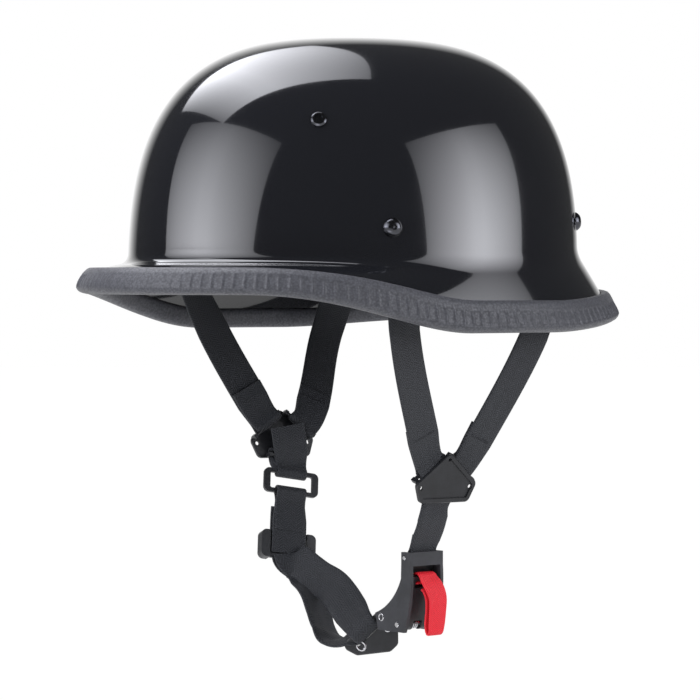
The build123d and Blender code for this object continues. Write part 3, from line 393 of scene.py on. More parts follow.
def smoothLine(stations, first=None, last=None, steps=None):
    # cubic pieces between the stations, which pass each one along the mean of the hops beside it
    steps = steps or webbing["steps"]
    points = np.array([stop[0] for stop in stations], float)
    faces = np.array([stop[1] for stop in stations], float)
    sizes = np.array([stop[2:4] for stop in stations], float)
    hops = unit(np.diff(points, axis=0))
    ways = unit(np.concatenate([[hops[0] if first is None else first], hops[:-1] + hops[1:],
                                [hops[-1] if last is None else last]]))
    t = np.linspace(0, 1, steps, endpoint=False)[None, :, None]
    reach = np.linalg.norm(np.diff(points, axis=0), axis=-1)[:, None, None]
    low, high, out, come = points[:-1, None], points[1:, None], ways[:-1, None], ways[1:, None]
    place = low * (2 * t ** 3 - 3 * t ** 2 + 1) + high * (3 * t ** 2 - 2 * t ** 3)
    place = place + reach * (out * (t ** 3 - 2 * t ** 2 + t) + come * (t ** 3 - t ** 2))
    bend = out * (3 * t ** 2 - 4 * t + 1) + come * (3 * t ** 2 - 2 * t)
    way = (high - low) * (6 * t - 6 * t ** 2) + reach * bend
    face = faces[:-1, None] * (1 - t) + faces[1:, None] * t
    size = sizes[:-1, None] * (1 - t) + sizes[1:, None] * t
    place = np.concatenate([place.reshape(-1, 3), points[-1:]])
    way = unit(np.concatenate([way.reshape(-1, 3), ways[-1:]]))
    face = np.concatenate([face.reshape(-1, 3), faces[-1:]])
    size = np.concatenate([size.reshape(-1, 2), sizes[-1:]])
    return place, way, face, size


def makeBand(name, stations, first=None, last=None, steps=None):
    # a flat band with round selvedges: at each place of its line the section is a long oval
    place, way, face, size = smoothLine(stations, first, last, steps)
    side = unit(np.cross(face, way))
    face = unit(np.cross(way, side))
    bend = np.linspace(-math.pi / 2, math.pi / 2, webbing["edgePoints"])[1:-1]
    flat = np.linspace(-1, 1, webbing["facePoints"])
    x = np.concatenate([flat, 1 + 0 * bend, flat[::-1], -1 + 0 * bend])
    roundOut = np.concatenate([0 * flat, np.cos(bend), 0 * flat, -np.cos(bend)])
    y = np.concatenate([-1 + 0 * flat, np.sin(bend), 1 + 0 * flat, -np.sin(bend)])
    half = size[:, :1] / 2 - size[:, 1:] / 2
    across = x[None] * half + roundOut[None] * size[:, 1:] / 2
    rise = y[None] * size[:, 1:] / 2
    grid = place[:, None] + side[:, None] * across[..., None] + face[:, None] * rise[..., None]
    run = arcLengths(place)
    wide = np.concatenate([across, across[:, :1]], axis=1)
    uv = np.stack([wide, np.broadcast_to(run[:, None], wide.shape)], -1)
    return gridMesh(name, grid, wrapColumns=True, caps=True, uv=uv, sharp=50)


def aroundBar(bar, away, facing, size, reach=webbing["foldReach"]):
    # from the facing side of a bar, round it and up the other side, as spokes of one radius
    width = webbing["eyeWidth"]
    radius = size / 2 + webbing["eyeGap"] * webbing["eyeShare"] + webbing["thick"] / 2
    lift = webbing["thick"] / 2 + webbing["foldLift"]
    neck = bar + away * (radius + reach)
    stations = [station(neck + facing * lift, facing, width)]
    for angle in np.radians(np.linspace(*webbing["foldSweep"])):
        spoke = away * math.cos(angle) + facing * math.sin(angle)
        stations.append(station(bar + spoke * radius, spoke, width))
    stations.append(station(neck - facing * lift, -facing, width))
    return stations


def hung(shares):
    # a place given as shares of the half width, the half length and the crown height
    return np.array(shares) * (shell["halfWidth"], shell["halfLength"], shell["crownHeight"])


divider = {
    "near": (0.615, 0.0615, -0.484), "far": (-0.638, 0.0615, -0.3694), "lean": 14.0, "nearTurn": 0.0,
    "farTurn": 19.0, "roll": 6.0, "top": 15.5, "shoulder": 19.5, "shoulderDrop": 1.5, "footDrop": 12.0,
    "rod": 2.2, "rodInset": 1.2, "spread": 1.12,
}


def dividerFrame(place, side):
    # along the plate, up it, and out of it
    lean = math.radians(divider["lean"]) * side
    turn = math.radians(divider["nearTurn"] if side > 0 else divider["farTurn"]) * -side
    across = np.array([math.sin(turn), math.cos(turn), 0.0]) * side
    rise = unit(np.array([math.cos(turn), -math.sin(turn), 0.0]) * math.sin(lean) + up * math.cos(lean))
    out = unit(np.cross(across, rise))
    rise = np.cross(out, across)
    roll = math.radians(divider["roll"] * -side)
    along = across * math.cos(roll) + rise * math.sin(roll)
    return hung(place), along, rise * math.cos(roll) - across * math.sin(roll), out


def dividerRods():
    # middle and tilt of the plate's three rods: one under each of its upper sides, one at its foot
    slope = math.atan2(divider["top"] + divider["shoulderDrop"], divider["shoulder"])
    x = -divider["shoulder"] / 2 * divider["spread"] + divider["rodInset"] * math.sin(slope)
    y = (divider["top"] - divider["shoulderDrop"]) / 2 - divider["rodInset"] * math.cos(slope)
    return [(x, y, slope), (-x, y, -slope), (0.0, -divider["footDrop"] + divider["rodInset"], 0.0)]


def rodFrame(place, side, index):
    # a rod's middle, the way the webbing leaves it, and the way the plate looks
    origin, along, rise, out = dividerFrame(place, side)
    x, y, tilt = dividerRods()[index]
    away = (rise * math.cos(tilt) - along * math.sin(tilt)) * (1 if index < 2 else -1)
    return origin + along * x + rise * y, away, out


# rows of stitches that each leg adds, for the bar tacks made after them
tacks = []
legSizes = {
    "wallSteps": (-0.55, 0.0, 0.5, 1.0), "clear": 3.0, "lowShare": 0.86, "lowWidth": 0.985, "tailGap": 0.15,
    "tailWidth": 0.95, "tackLift": 1.5, "tackWidth": 14.0, "tackHeight": 2.4, "tackThreads": 16,
}
# the rivet's turn and share, the turn at the crease, where the leg leaves the shell, and its divider,
# side and rod
legs = {
    "left_front_leg": (66.5, 0.911, 70.0, (0.8286, -0.2846, 0.0), "near", 1, 0),
    "left_rear_leg": (137.0, 0.906, 126.0, (0.8476, 0.4, 0.0), "near", 1, 1),
    "right_front_leg": (-66.5, 0.911, -70.0, (-0.8286, -0.2038, 0.0), "far", -1, 1),
    "right_rear_leg": (-137.0, 0.906, -126.0, (-0.8476, 0.4423, 0.0), "far", -1, 0),
}


def makeLeg(name):
    # from above its rivet down the shell's inner face, out past the brim, round its rod and back
    turn, share, creaseTurn, leave, place, side, index = legs[name]
    turn, creaseTurn = math.radians(turn), math.radians(creaseTurn)
    depth = shell["wall"] + webbing["gap"] + webbing["thick"] / 2
    stations = []
    for step in legSizes["wallSteps"]:
        t, s = turn + (creaseTurn - turn) * step, share + (1 - share) * step
        stations.append(station(under(dome, t, s, depth), outward(dome, t, s)))
    bar, away, facing = rodFrame(divider[place], side, index)
    wrap = aroundBar(bar, away, facing, divider["rod"])
    leave = hung(leave)
    look = unit(facing + np.array([side, 0.0, 0.0]))
    stations.append(station(leave, look))
    low = leave + (wrap[0][0] + away * legSizes["clear"] - leave) * legSizes["lowShare"]
    stations.append(station(low, facing, webbing["width"] * legSizes["lowWidth"]))
    # the folded end lies behind the band, which it is sewn to
    climb = unit(leave - low)
    behind = webbing["thick"] + legSizes["tailGap"]
    share = webbing["tail"] / 2 / np.linalg.norm(leave - low)
    turned = unit(facing * (1 - share) + look * share)
    turned = unit(turned - climb * (turned @ climb))
    flat = unit(facing - climb * (facing @ climb))
    narrow = webbing["width"] * legSizes["tailWidth"]
    tail = [station(low - flat * behind, -flat, narrow),
            station(low + climb * webbing["tail"] / 2 - turned * behind, -turned, narrow)]
    first = unit(stations[1][0] - stations[0][0])
    side = unit(np.cross(flat, climb))
    for lift, way in ((webbing["thick"] / 2, flat), (-behind - webbing["thick"] / 2, -flat)):
        tacks.extend(barTack(low + climb * legSizes["tackLift"] + flat * lift, side, climb, way))
    return makeBand(name, stations + wrap + tail, first=first)


fittings = {
    "linkIn": 5.5, "linkDrop": 26.4, "slide": (-0.4952, -0.0077, -0.7516), "linkHeight": 13.8,
    "linkBar": 2.4, "linkThick": 2.4, "slideEnd": 4.8, "slideBar": 1.6, "pair": 0.3,
    "track": (0.1657, 0.0385, -0.742), "trackInner": 33.6, "barDepth": 0.3, "barAngle": 87.5, "bar": 2.4,
    "plateShift": 2.9, "plateForward": 8.5, "plateDrop": 8.8, "plateFacing": 50.0, "plateSlope": 43.8,
    "plateThick": 3.0, "plateBar": 3.0, "plateSlot": 3.6, "loopWidth": 16.0, "loopShift": -2.0,
    "loopDoubled": 1.68, "loopGap": 0.5, "loopSweep": (90, -90, 5),
    # the places that the slack loop's inner and outer layers pass, as shares for hung
    "inner": ((-0.4177, 0.0022, -0.8125), (-0.3501, 0.0066, -0.8359), (-0.2811, 0.0125, -0.8573),
              (-0.1602, 0.0084, -0.8813), (-0.0642, -0.0079, -0.9116), (0.0476, -0.0333, -0.9544)),
    "outer": ((0.0832, -0.0617, -1.0381), (0.0083, -0.0864, -1.0545), (-0.0838, -0.0784, -1.0275),
              (-0.1615, -0.0562, -0.9899), (-0.2602, -0.0177, -0.9313), (-0.3748, 0.0175, -0.8724),
              (-0.4544, 0.0264, -0.8222)),
    # degrees by which the outer layer faces away at each of these places
    "roll": (75.0, 78.0, 58.0, 46.0, 38.0, 22.0, 8.0), "start": 5.0, "narrow": 17.4,
}
linkAt = hung(divider["far"]) + (fittings["linkIn"], 0.0, -fittings["linkDrop"])
slideAt, trackCentre = hung(fittings["slide"]), hung(fittings["track"])


def chinFrame():
    # down the far chin strap, and outward from it
    run = unit(slideAt - linkAt)
    turn = math.radians(divider["farTurn"])
    out = np.array([-math.cos(turn), math.sin(turn), 0.0])
    return run, unit(out - run * (out @ run))


def trackPoint(radius, angle):
    # a place round the track's centre, with its angle counted from straight down
    lean = math.radians(angle)
    return trackCentre + np.array([radius * math.sin(lean), 0.0, -radius * math.cos(lean)])


def ringBar():
    # the link's bars are square, so the webbing goes round their diagonal
    return math.hypot(fittings["linkBar"], fittings["linkThick"])


def linkBarPlace(lower):
    # the middle of the link's lower or upper bar
    run, out = chinFrame()
    offset = (fittings["linkHeight"] - fittings["linkBar"]) / 2
    return linkAt + run * (offset if lower else -offset)


lowerSizes = {"aim": 4.0, "bow": 0.4, "straight": 5.0, "upperTail": 9.0, "lowerTail": 8.0}
linkSizes = {"reach": 0.8, "flap": 15.0, "flapGap": 0.5, "foot": 1.5, "sag": 4.0, "lift": 0.1, "upper": 7}
chinSizes = {"tail": 17.0, "straight": 16.0}
freeTail = {"length": 22.0, "flat": 18.0, "lean": 0.5}


def makeLowerStrap():
    # near divider to the bar at the top of the buckle, folded and sewn at both ends
    bar, away, facing = rodFrame(divider["near"], 1, 2)
    hold = trackPoint(fittings["trackInner"] + fittings["barDepth"], fittings["barAngle"])
    rise = unit((bar + away * lowerSizes["aim"] - hold) * (1, 0, 1))
    face = unit(np.cross(np.array([0.0, 1.0, 0.0]), rise))
    upper = aroundBar(bar, away, facing, divider["rod"])[::-1]
    lower = aroundBar(hold, rise, face, fittings["bar"])
    middle = (upper[-1][0] + lower[0][0]) / 2 + face * lowerSizes["bow"]
    straight, narrow = lowerSizes["straight"], webbing["eyeWidth"]
    stations = [station(upper[0][0] + away * lowerSizes["upperTail"], -facing, narrow)] + upper
    stations += [station(upper[-1][0] + away * straight, facing), station(middle, unit(facing + face)),
                 station(lower[0][0] + rise * straight, face)] + lower
    stations += [station(lower[-1][0] + rise * lowerSizes["lowerTail"], -face, narrow)]
    return makeBand("left_lower_band", stations)


def makeLinkBand():
    # from over the far divider's inner side down to the ring's upper bar, round it and up to the lowest
    # rod; the flap sags by a parabola
    bar, away, facing = rodFrame(divider["far"], -1, 2)
    run, out = chinFrame()
    hold = linkBarPlace(False)
    thick = webbing["thick"]
    rod = divider["rod"] / 2 + webbing["eyeGap"] * webbing["eyeShare"] + thick
    lower = aroundBar(hold, -run, out, ringBar(), reach=linkSizes["reach"])
    upper = aroundBar(bar, away, facing, divider["rod"], reach=linkSizes["reach"])
    top = bar - away * linkSizes["flap"] - facing * (rod + thick + linkSizes["flapGap"])
    low = lower[-1][0] - run * linkSizes["foot"]
    stations = [station(top + (low - top) * share - facing * linkSizes["sag"] * share * (1 - share), -facing)
                for share in (0.0, 0.25, 0.5, 0.75)] + lower[::-1]
    stations += [(place + facing * linkSizes["lift"], *rest) for place, *rest in upper[:linkSizes["upper"]]]
    return makeBand("link_band", stations)


def makeChinBand():
    # from its fold round the ring's lower bar straight down through the slide
    run, out = chinFrame()
    hold = linkBarPlace(True)
    wrap = aroundBar(hold, run, out, ringBar())[::-1]
    stations = [station(wrap[0][0] + run * chinSizes["tail"], -out, webbing["eyeWidth"])] + wrap
    stations += [station(hold + run * chinSizes["straight"], out),
                 station(slideAt + run * fittings["slideEnd"], out)]
    return makeBand("right_chin_band", stations, last=run)


def slideLayer():
    # how far the outer layer of webbing lies outside the inner one in the slide
    return webbing["thick"] + 2 * fittings["pair"] + fittings["slideBar"]


def makeTailBand():
    # the free end that comes back up through the slide and lies along the band
    run, out = chinFrame()
    layer = slideLayer()
    stations = [station(slideAt - run * freeTail["length"] + out * (layer - freeTail["lean"]), out),
                station(slideAt - run * freeTail["flat"] + out * layer, out),
                station(slideAt + out * layer, out),
                station(slideAt + run * fittings["slideEnd"] + out * layer, out)]
    return makeBand("strap_tail_band", stations)


def tonguePlane():
    # along the webbing slot, toward the loop, and toward the wearer's front left
    facing, slope = math.radians(fittings["plateFacing"]), math.radians(fittings["plateSlope"])
    level = np.array([math.cos(facing), math.sin(facing), 0.0])
    out = np.array([math.sin(facing), -math.cos(facing), 0.0])
    along = level * math.cos(slope) + up * math.sin(slope)
    origin = trackCentre + (fittings["plateShift"], -fittings["plateForward"],
                            -fittings["trackInner"] - fittings["plateDrop"])
    return origin, along, np.cross(out, along), out


def makeChinLoop():
    # down the inner layer, round the bar of the tongue's plate and back up the outer layer
    run, out = chinFrame()
    start = slideAt + run * fittings["start"]
    origin, along, deep, face = tonguePlane()
    bar = origin + along * fittings["loopShift"] + deep * (fittings["plateSlot"] + fittings["plateBar"]) / 2
    doubled = webbing["thick"] * fittings["loopDoubled"]
    radius = math.hypot(fittings["plateBar"], fittings["plateThick"]) / 2 + fittings["loopGap"] + doubled / 2
    stations = [station(start, -out, fittings["narrow"])]
    stations += [station(hung(shares), face) for shares in fittings["inner"]]
    for angle in np.radians(np.linspace(*fittings["loopSweep"])):
        spoke = face * math.sin(angle) - deep * math.cos(angle)
        stations.append((bar + spoke * radius, spoke, fittings["loopWidth"], doubled))
    # the outer layer turns its face outward and down, which opens the gap between the two layers
    outer = np.array([hung(shares) for shares in fittings["outer"]])
    ways = unit(np.gradient(outer, axis=0))
    for place, way, angle in zip(outer, ways, np.radians(fittings["roll"])):
        turned = face * math.cos(angle) + unit(np.cross(way, face)) * math.sin(angle)
        stations.append(station(place, -turned))
    finish = start + out * slideLayer()
    stations += [station(finish, out, fittings["narrow"])]
    toward = unit(unit(bar - start) + run)
    return makeBand("chin_loop_band", stations, first=toward, last=-toward), start, bar


ribbonSizes = {
    "width": 12.0, "thick": 1.1, "leverBar": 2.4, "leverThick": 2.6, "gap": 0.35, "sweep": (-60, -280, 9),
    "steps": 5,
    # how far the hanging part stands off, and how far below the hinge it does so in full
    "shift": (1.3, 1.6, 0.8), "shiftDrop": 12.0,
    # how the loop hangs from its hinge: out, back, up, the way it faces, and how much wider it spreads
    "hang": (
        (2.2, 0.1, 1.9, 0.7, 0.7, 0.1), (3.9, 0.4, -0.7, 0.95, 0.3, 0.4), (6.0, 0.9, -4.8, 1.0, 0.2, 0.8),
        (7.0, 1.2, -11.0, 1.0, -0.1, 0.2), (6.9, 1.0, -18.0, 1.0, 0.05, -0.4),
        (6.3, 0.8, -25.0, 1.0, -0.1, -0.8), (5.7, 0.6, -29.2, 0.75, -0.66, -1.6),
        (4.6, 0.5, -30.4, 0.0, -1.0, -2.2), (3.6, 0.5, -29.2, -0.75, -0.66, -1.8),
        (3.2, 0.6, -24.5, -1.0, 0.0, -1.0), (4.0, 0.8, -17.0, -1.0, 0.1, -0.6),
        (4.2, 0.8, -10.5, -1.0, 0.0, -0.2), (3.7, 0.4, -5.4, -1.0, 0.0, 0.0),
        (3.1, 0.0, -3.8, -1.0, 0.0, 0.0)),
}


def makeRibbon(hinge):
    # a folded loop of ribbon: round the lever's end bar, bulging over it, down, folded under and up again
    wide, thick = ribbonSizes["width"], ribbonSizes["thick"]
    bar = math.hypot(ribbonSizes["leverBar"], ribbonSizes["leverThick"])
    radius = bar / 2 + ribbonSizes["gap"] + thick / 2
    side, lean = np.array([1.0, 0.0, 0.0]), np.array([0.0, 1.0, 0.0])
    stations = []
    for angle in np.radians(np.linspace(*ribbonSizes["sweep"])):
        spoke = side * math.cos(angle) + up * math.sin(angle)
        stations.append((hinge + spoke * radius, spoke, wide, thick))
    for x, y, z, faceX, faceZ, wider in ribbonSizes["hang"]:
        shift = np.array(ribbonSizes["shift"]) * min(1, max(0, -z / ribbonSizes["shiftDrop"]))
        face = side * faceX + up * faceZ
        stations.append((hinge + shift + side * x + lean * y + up * z, face, wide + wider, thick))
    return makeBand("pull_ribbon_band", stations, steps=ribbonSizes["steps"])


stitch = {"long": 1.5, "wide": 0.42, "rings": 5, "sides": 6, "tip": 0.15, "lift": 0.4}


def makeStitches(name, rows):
    # threads: each is a small many sided bead, longer than wide, whose width is a half circle over a
    # blunt tip; a row gives a start, a stop, the way the cloth faces and a count
    long, wide = stitch["long"], stitch["wide"]
    share = np.linspace(-1, 1, stitch["rings"])
    bow = np.sqrt(np.clip(1 - share ** 2, 0, 1)) * (1 - stitch["tip"]) + stitch["tip"]
    angle = fullTurn(stitch["sides"])
    beads = []
    for start, stop, face, count in rows:
        face = unit(face)
        way = unit(stop - start)
        side = np.cross(face, way)
        places = start + (stop - start) * ((np.arange(count) + 0.5) / count)[:, None]
        bead = (way * share[:, None, None] * long / 2
                + side * (bow[:, None] * np.cos(angle))[..., None] * wide / 2
                + face * (bow[:, None] * np.sin(angle) + stitch["lift"])[..., None] * wide / 2)
        beads.append(places[:, None, None] + bead)
    grid = np.concatenate(beads)
    count, rings, spokes = grid.shape[:3]
    index = np.arange(count * rings * spokes).reshape(count, rings, spokes)
    beside = index[:, :, (np.arange(spokes) + 1) % spokes]
    quads = np.stack([index[:, :-1], beside[:, :-1], beside[:, 1:], index[:, 1:]], -1).reshape(-1, 4)
    mesh = bpy.data.meshes.new(name)
    mesh.from_pydata(toFrame(grid.reshape(-1, 3)).tolist(), [],
                     quads.tolist() + index[:, 0, ::-1].tolist() + index[:, -1].tolist())
    mesh.polygons.foreach_set("use_smooth", np.full(len(mesh.polygons), True))
    return faceOutward(sceneObject(name, mesh))


def barTack(centre, across, along, face):
    # a dense row of threads across the band
    wide, high, count = legSizes["tackWidth"], legSizes["tackHeight"], legSizes["tackThreads"]
    rows = []
    for index in range(count):
        place = centre + across * wide * ((index + 0.5) / count - 0.5)
        rows.append((place - along * high / 2, place + along * high / 2, face, 1))
    return rows


def linear(hexText):
    # an sRGB hex colour as linear light, with a full alpha
    values = np.array([int(hexText[i:i + 2], 16) for i in (0, 2, 4)]) / 255
    low, high = values / 12.92, ((values + 0.055) / 1.055) ** 2.4
    return (*np.where(values <= 0.04045, low, high), 1.0)


def addNode(tree, kind, settings=None, links=None):
    # one node: settings go to its sockets, or else to its properties, and links join sockets
    node = tree.nodes.new("ShaderNode" + kind)
    for key, value in (settings or {}).items():
        if isinstance(key, int) or key in node.inputs:
            node.inputs[key].default_value = value
        else:
            setattr(node, key, value)
    for key, source in (links or {}).items():
        tree.links.new(source, node.inputs[key])
    return node


def newMaterial(name, settings):
    # a node material whose surface is one principled shader with these fixed values
    material = bpy.data.materials.new(name)
    material.use_nodes = True
    tree = material.node_tree
    shader = tree.nodes["Principled BSDF"]
    for key, value in settings.items():
        shader.inputs[key].default_value = value
    return material, tree, shader


def objectPlace(tree, scale=1000.0):
    # the object's own coordinates, in millimetres
    place = addNode(tree, "TexCoord").outputs["Object"]
    return addNode(tree, "Mapping", {"Scale": (scale, scale, scale)}, {"Vector": place}).outputs[0]


def mathNode(tree, operation, *values):
    # one step of arithmetic in the node tree, on numbers and sockets
    node = addNode(tree, "Math", {"operation": operation})
    for socket, value in zip(node.inputs, values):
        if isinstance(value, (int, float)):
            socket.default_value = value
        else:
            tree.links.new(value, socket)
    return node.outputs[0]


def noise(tree, place, scale, detail, roughness=0.5):
    # soft noise from 0 to 1; scale counts its features per millimetre
    settings = {"Scale": scale, "Detail": detail, "Roughness": roughness}
    return addNode(tree, "TexNoise", settings, {"Vector": place}).outputs[0]


def mixColours(tree, share, first, second):
    # a mix of two colours or sockets, by a share from 0 to 1
    mix = addNode(tree, "Mix", {"data_type": "RGBA"})
    for socket, value in ((mix.inputs[6], first), (mix.inputs[7], second)):
        if isinstance(value, tuple):
            socket.default_value = value
        else:
            tree.links.new(value, socket)
    tree.links.new(share, mix.inputs[0])
    return mix.outputs[2]


def ramp(tree, value, low, high, start=0.0, stop=1.0):
    # value taken from low..high to start..stop, and held there
    settings = {"From Min": low, "From Max": high, "To Min": start, "To Max": stop}
    return addNode(tree, "MapRange", settings, {"Value": value}).outputs[0]


def feed(tree, shader, name, value):
    # ties a value to one of the shader's inputs
    tree.links.new(value, shader.inputs[name])


def bump(tree, height, strength, distance, shader, below=None):
    # tilts the shader's normal by a height, over another bump where one is given
    links = {"Height": height}
    if below is not None:
        links["Normal"] = below
    node = addNode(tree, "Bump", {"Strength": strength, "Distance": distance}, links)
    tree.links.new(node.outputs[0], shader.inputs["Normal"])
    return node.outputs[0]


def clearCoatedShell():
    # black pigmented ABS under clear lacquer: deep black that mirrors the lamps sharply, with the
    # faintest orange peel about 3 mm from crest to crest, and fine dust that dulls it in patches
    material, tree, shader = newMaterial("lacquered_black_abs", {
        "Base Color": linear("17181c"), "Roughness": 0.09, "IOR": 1.5, "Coat Weight": 1.0,
        "Coat Roughness": 0.025, "Coat IOR": 1.5})
    place = objectPlace(tree)
    bump(tree, noise(tree, place, 0.3, 1.0), 0.05, 0.00006, shader)
    patches = noise(tree, place, 0.03, 4.0)
    feed(tree, shader, "Roughness", ramp(tree, patches, 0.35, 0.7, 0.07, 0.13))
    return material


def leatherette():
    # vinyl coated cloth stretched over foam cord: grey black, a pebble grain about 1 mm across whose valleys
    # and creases are painted darker as painted shade, and a soft sheen where it is stretched tight
    material, tree, shader = newMaterial("black_leatherette", {
        "Roughness": 0.4, "IOR": 1.5, "Sheen Weight": 0.06, "Sheen Roughness": 0.4})
    place = objectPlace(tree)
    pebbles = addNode(tree, "TexVoronoi", {"feature": "SMOOTH_F1", "Scale": 0.9, "Smoothness": 0.6},
                      {"Vector": place})
    creases = noise(tree, place, 0.25, 5.0, 0.6)
    # a tone that differs at random, and darker where the crease noise is low and the bump sinks it: painted
    # shade in the creases
    shade = mixColours(tree, ramp(tree, creases, 0.3, 0.7), linear("47484e"), linear("56575e"))
    # painted shade: the valleys between the pebbles, which the bump below sinks, take the darker colour
    # 3a3b41
    pebbleValleyShade = ramp(tree, pebbles.outputs[0], 0.1, 0.75)
    feed(tree, shader, "Base Color", mixColours(tree, pebbleValleyShade, shade, linear("3a3b41")))
    feed(tree, shader, "Roughness", ramp(tree, pebbles.outputs[0], 0.1, 0.8, 0.36, 0.6))
    first = addNode(tree, "Bump", {"Strength": 0.35, "Distance": 0.0004}, {"Height": creases}).outputs[0]
    height = ramp(tree, pebbles.outputs[0], 0.0, 0.8, 1.0, 0.0)
    bump(tree, height, 0.25, 0.0002, shader, first)
    return material


def wovenCloth(name, dark, light, pitch, depth, roughness, sheen):
    # flat woven nylon: warp threads run down the band and cross under each other, so the face shows
    # rows of small slanted floats: the sine of the way along, slanted by a zigzag of the way across, plus
    # a weaker cosine of the way across; its pitch is drawn coarser than real, so that it shows
    material, tree, shader = newMaterial(name, {
        "Roughness": roughness, "IOR": 1.5, "Sheen Weight": sheen, "Sheen Roughness": 0.5})
    uv = addNode(tree, "UVMap", {"uv_map": "millimetres"}).outputs[0]
    parts = addNode(tree, "SeparateXYZ", None, {0: uv})
    across, along = parts.outputs[0], parts.outputs[1]
    rate = 2 * math.pi / pitch
    lean = mathNode(tree, "PINGPONG", across, 3.4)
    slant = mathNode(tree, "MULTIPLY_ADD", lean, 0.8, along)
    rows = mathNode(tree, "SINE", mathNode(tree, "MULTIPLY", slant, rate))
    warp = mathNode(tree, "COSINE", mathNode(tree, "MULTIPLY", across, rate * 1.2))
    weave = mathNode(tree, "MULTIPLY_ADD", warp, 0.35, rows)
    fuzz = noise(tree, objectPlace(tree), 1.6, 5.0, 0.65)
    # painted shade: the weave's floats take the lighter colour and the grooves between them the darker one,
    # in step with the bump below
    shade = mixColours(tree, ramp(tree, weave, -1.2, 1.2), dark, light)
    feed(tree, shader, "Base Color", mixColours(tree, ramp(tree, fuzz, 0.35, 0.75, 0.0, 0.45), shade, dark))
    first = addNode(tree, "Bump", {"Strength": 0.25, "Distance": 0.0003}, {"Height": fuzz}).outputs[0]
    bump(tree, ramp(tree, weave, -1.3, 1.3), 0.55, depth, shader, first)
    return material


def mouldedNylon(name, shade, roughness, grain=2.2):
    # injection moulded nylon: dark grey, even satin with a fine spark eroded grain and small scuffs
    material, tree, shader = newMaterial(name, {"Roughness": roughness, "IOR": 1.53})
    place = objectPlace(tree)
    spark = noise(tree, place, grain, 3.0)
    wear = noise(tree, place, 0.12, 6.0, 0.6)
    low, high = linear(shade[0]), linear(shade[1])
    feed(tree, shader, "Base Color", mixColours(tree, ramp(tree, wear, 0.35, 0.7), low, high))
    feed(tree, shader, "Roughness", ramp(tree, wear, 0.3, 0.7, roughness + 0.08, roughness - 0.06))
    bump(tree, spark, 0.3, 0.0001, shader)
    return material


def platedMetal(name, shade, roughness):
    # turned steel under nickel: bright, with fine turning marks and a slightly uneven polish
    material, tree, shader = newMaterial(name, {
        "Base Color": linear(shade), "Metallic": 1.0, "Roughness": roughness})
    marks = noise(tree, objectPlace(tree), 1.4, 4.0)
    feed(tree, shader, "Roughness", ramp(tree, marks, 0.3, 0.75, roughness * 0.7, roughness * 1.6))
    bump(tree, marks, 0.12, 0.00008, shader)
    return material


def beadFoam():
    # expanded polystyrene dyed black: dull, with the outlines of beads about 3 mm across, whose sunk joints
    # are painted darker as painted shade
    material, tree, shader = newMaterial("expanded_polystyrene", {"Roughness": 0.8, "IOR": 1.45})
    place = objectPlace(tree)
    edges = {"Scale": 0.33, "feature": "DISTANCE_TO_EDGE"}
    beads = addNode(tree, "TexVoronoi", edges, {"Vector": place}).outputs[0]
    cells = addNode(tree, "TexVoronoi", {"Scale": 0.33}, {"Vector": place}).outputs["Color"]
    tone = ramp(tree, addNode(tree, "SeparateColor", None, {0: cells}).outputs[0], 0.0, 1.0, 0.0, 0.5)
    shade = mixColours(tree, tone, linear("232427"), linear("303135"))
    # painted shade: the joints between beads, sunk by the bump below, take the near black colour 141517
    edge = ramp(tree, beads, 0.0, 0.12)
    feed(tree, shader, "Base Color", mixColours(tree, edge, linear("141517"), shade))
    bump(tree, edge, 0.5, 0.0004, shader)
    return material


def brushedKnit():
    # brushed nylon knit over foam: soft black with a pale bloom at grazing angles and loops 1.6 mm apart
    material, tree, shader = newMaterial("brushed_knit", {
        "Roughness": 0.9, "Sheen Weight": 0.5, "Sheen Roughness": 0.45, "IOR": 1.4})
    place = objectPlace(tree)
    loops = addNode(tree, "TexVoronoi", {"Scale": 0.62}, {"Vector": place}).outputs[0]
    nap = noise(tree, place, 0.9, 6.0, 0.7)
    # a tone that differs at random, and darker where the bump below sinks the nap: partly painted shade in
    # its hollows
    shade = mixColours(tree, ramp(tree, nap, 0.3, 0.7), linear("1b1c1e"), linear("2a2b2e"))
    feed(tree, shader, "Base Color", shade)
    first = addNode(tree, "Bump", {"Strength": 0.4, "Distance": 0.0005}, {"Height": nap}).outputs[0]
    bump(tree, loops, 0.35, 0.0004, shader, first)
    return material


shellLook = clearCoatedShell()
trimLook = leatherette()
# in the two woven looks the darker colour is painted shade in the weave's grooves, the lighter one the
# floats' tops
webLook = wovenCloth("woven_black_nylon", linear("17191e"), linear("2a2d34"), 1.5, 0.0003, 0.66, 0.1)
ribbonLook = wovenCloth("woven_red_polyester", linear("c41022"), linear("ff2034"), 1.1, 0.00025, 0.6, 0.0)
nylonLook = mouldedNylon("moulded_black_nylon", ("1b1c1f", "26272b"), 0.34)
buckleLook = mouldedNylon("moulded_grey_nylon", ("2b2c30", "37383d"), 0.5)
steelLook = platedMetal("nickel_plated_steel", "c9c9cc", 0.16)
darkSteelLook = platedMetal("black_nickel_steel", "57585d", 0.18)
foamLook = beadFoam()
knitLook = brushedKnit()
threadLook = mouldedNylon("bonded_nylon_thread", ("26272b", "3a3b40"), 0.6, 4.0)
print("materials ready")


def dress(piece, look, body="helmet", nodes=()):
    # gives a new piece its material and its body, and hides the solids it stands for
    piece.data.materials.clear()
    piece.data.materials.append(look)
    if nodes:
        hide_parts(*nodes)
    if body:
        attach(piece, body)
    return piece


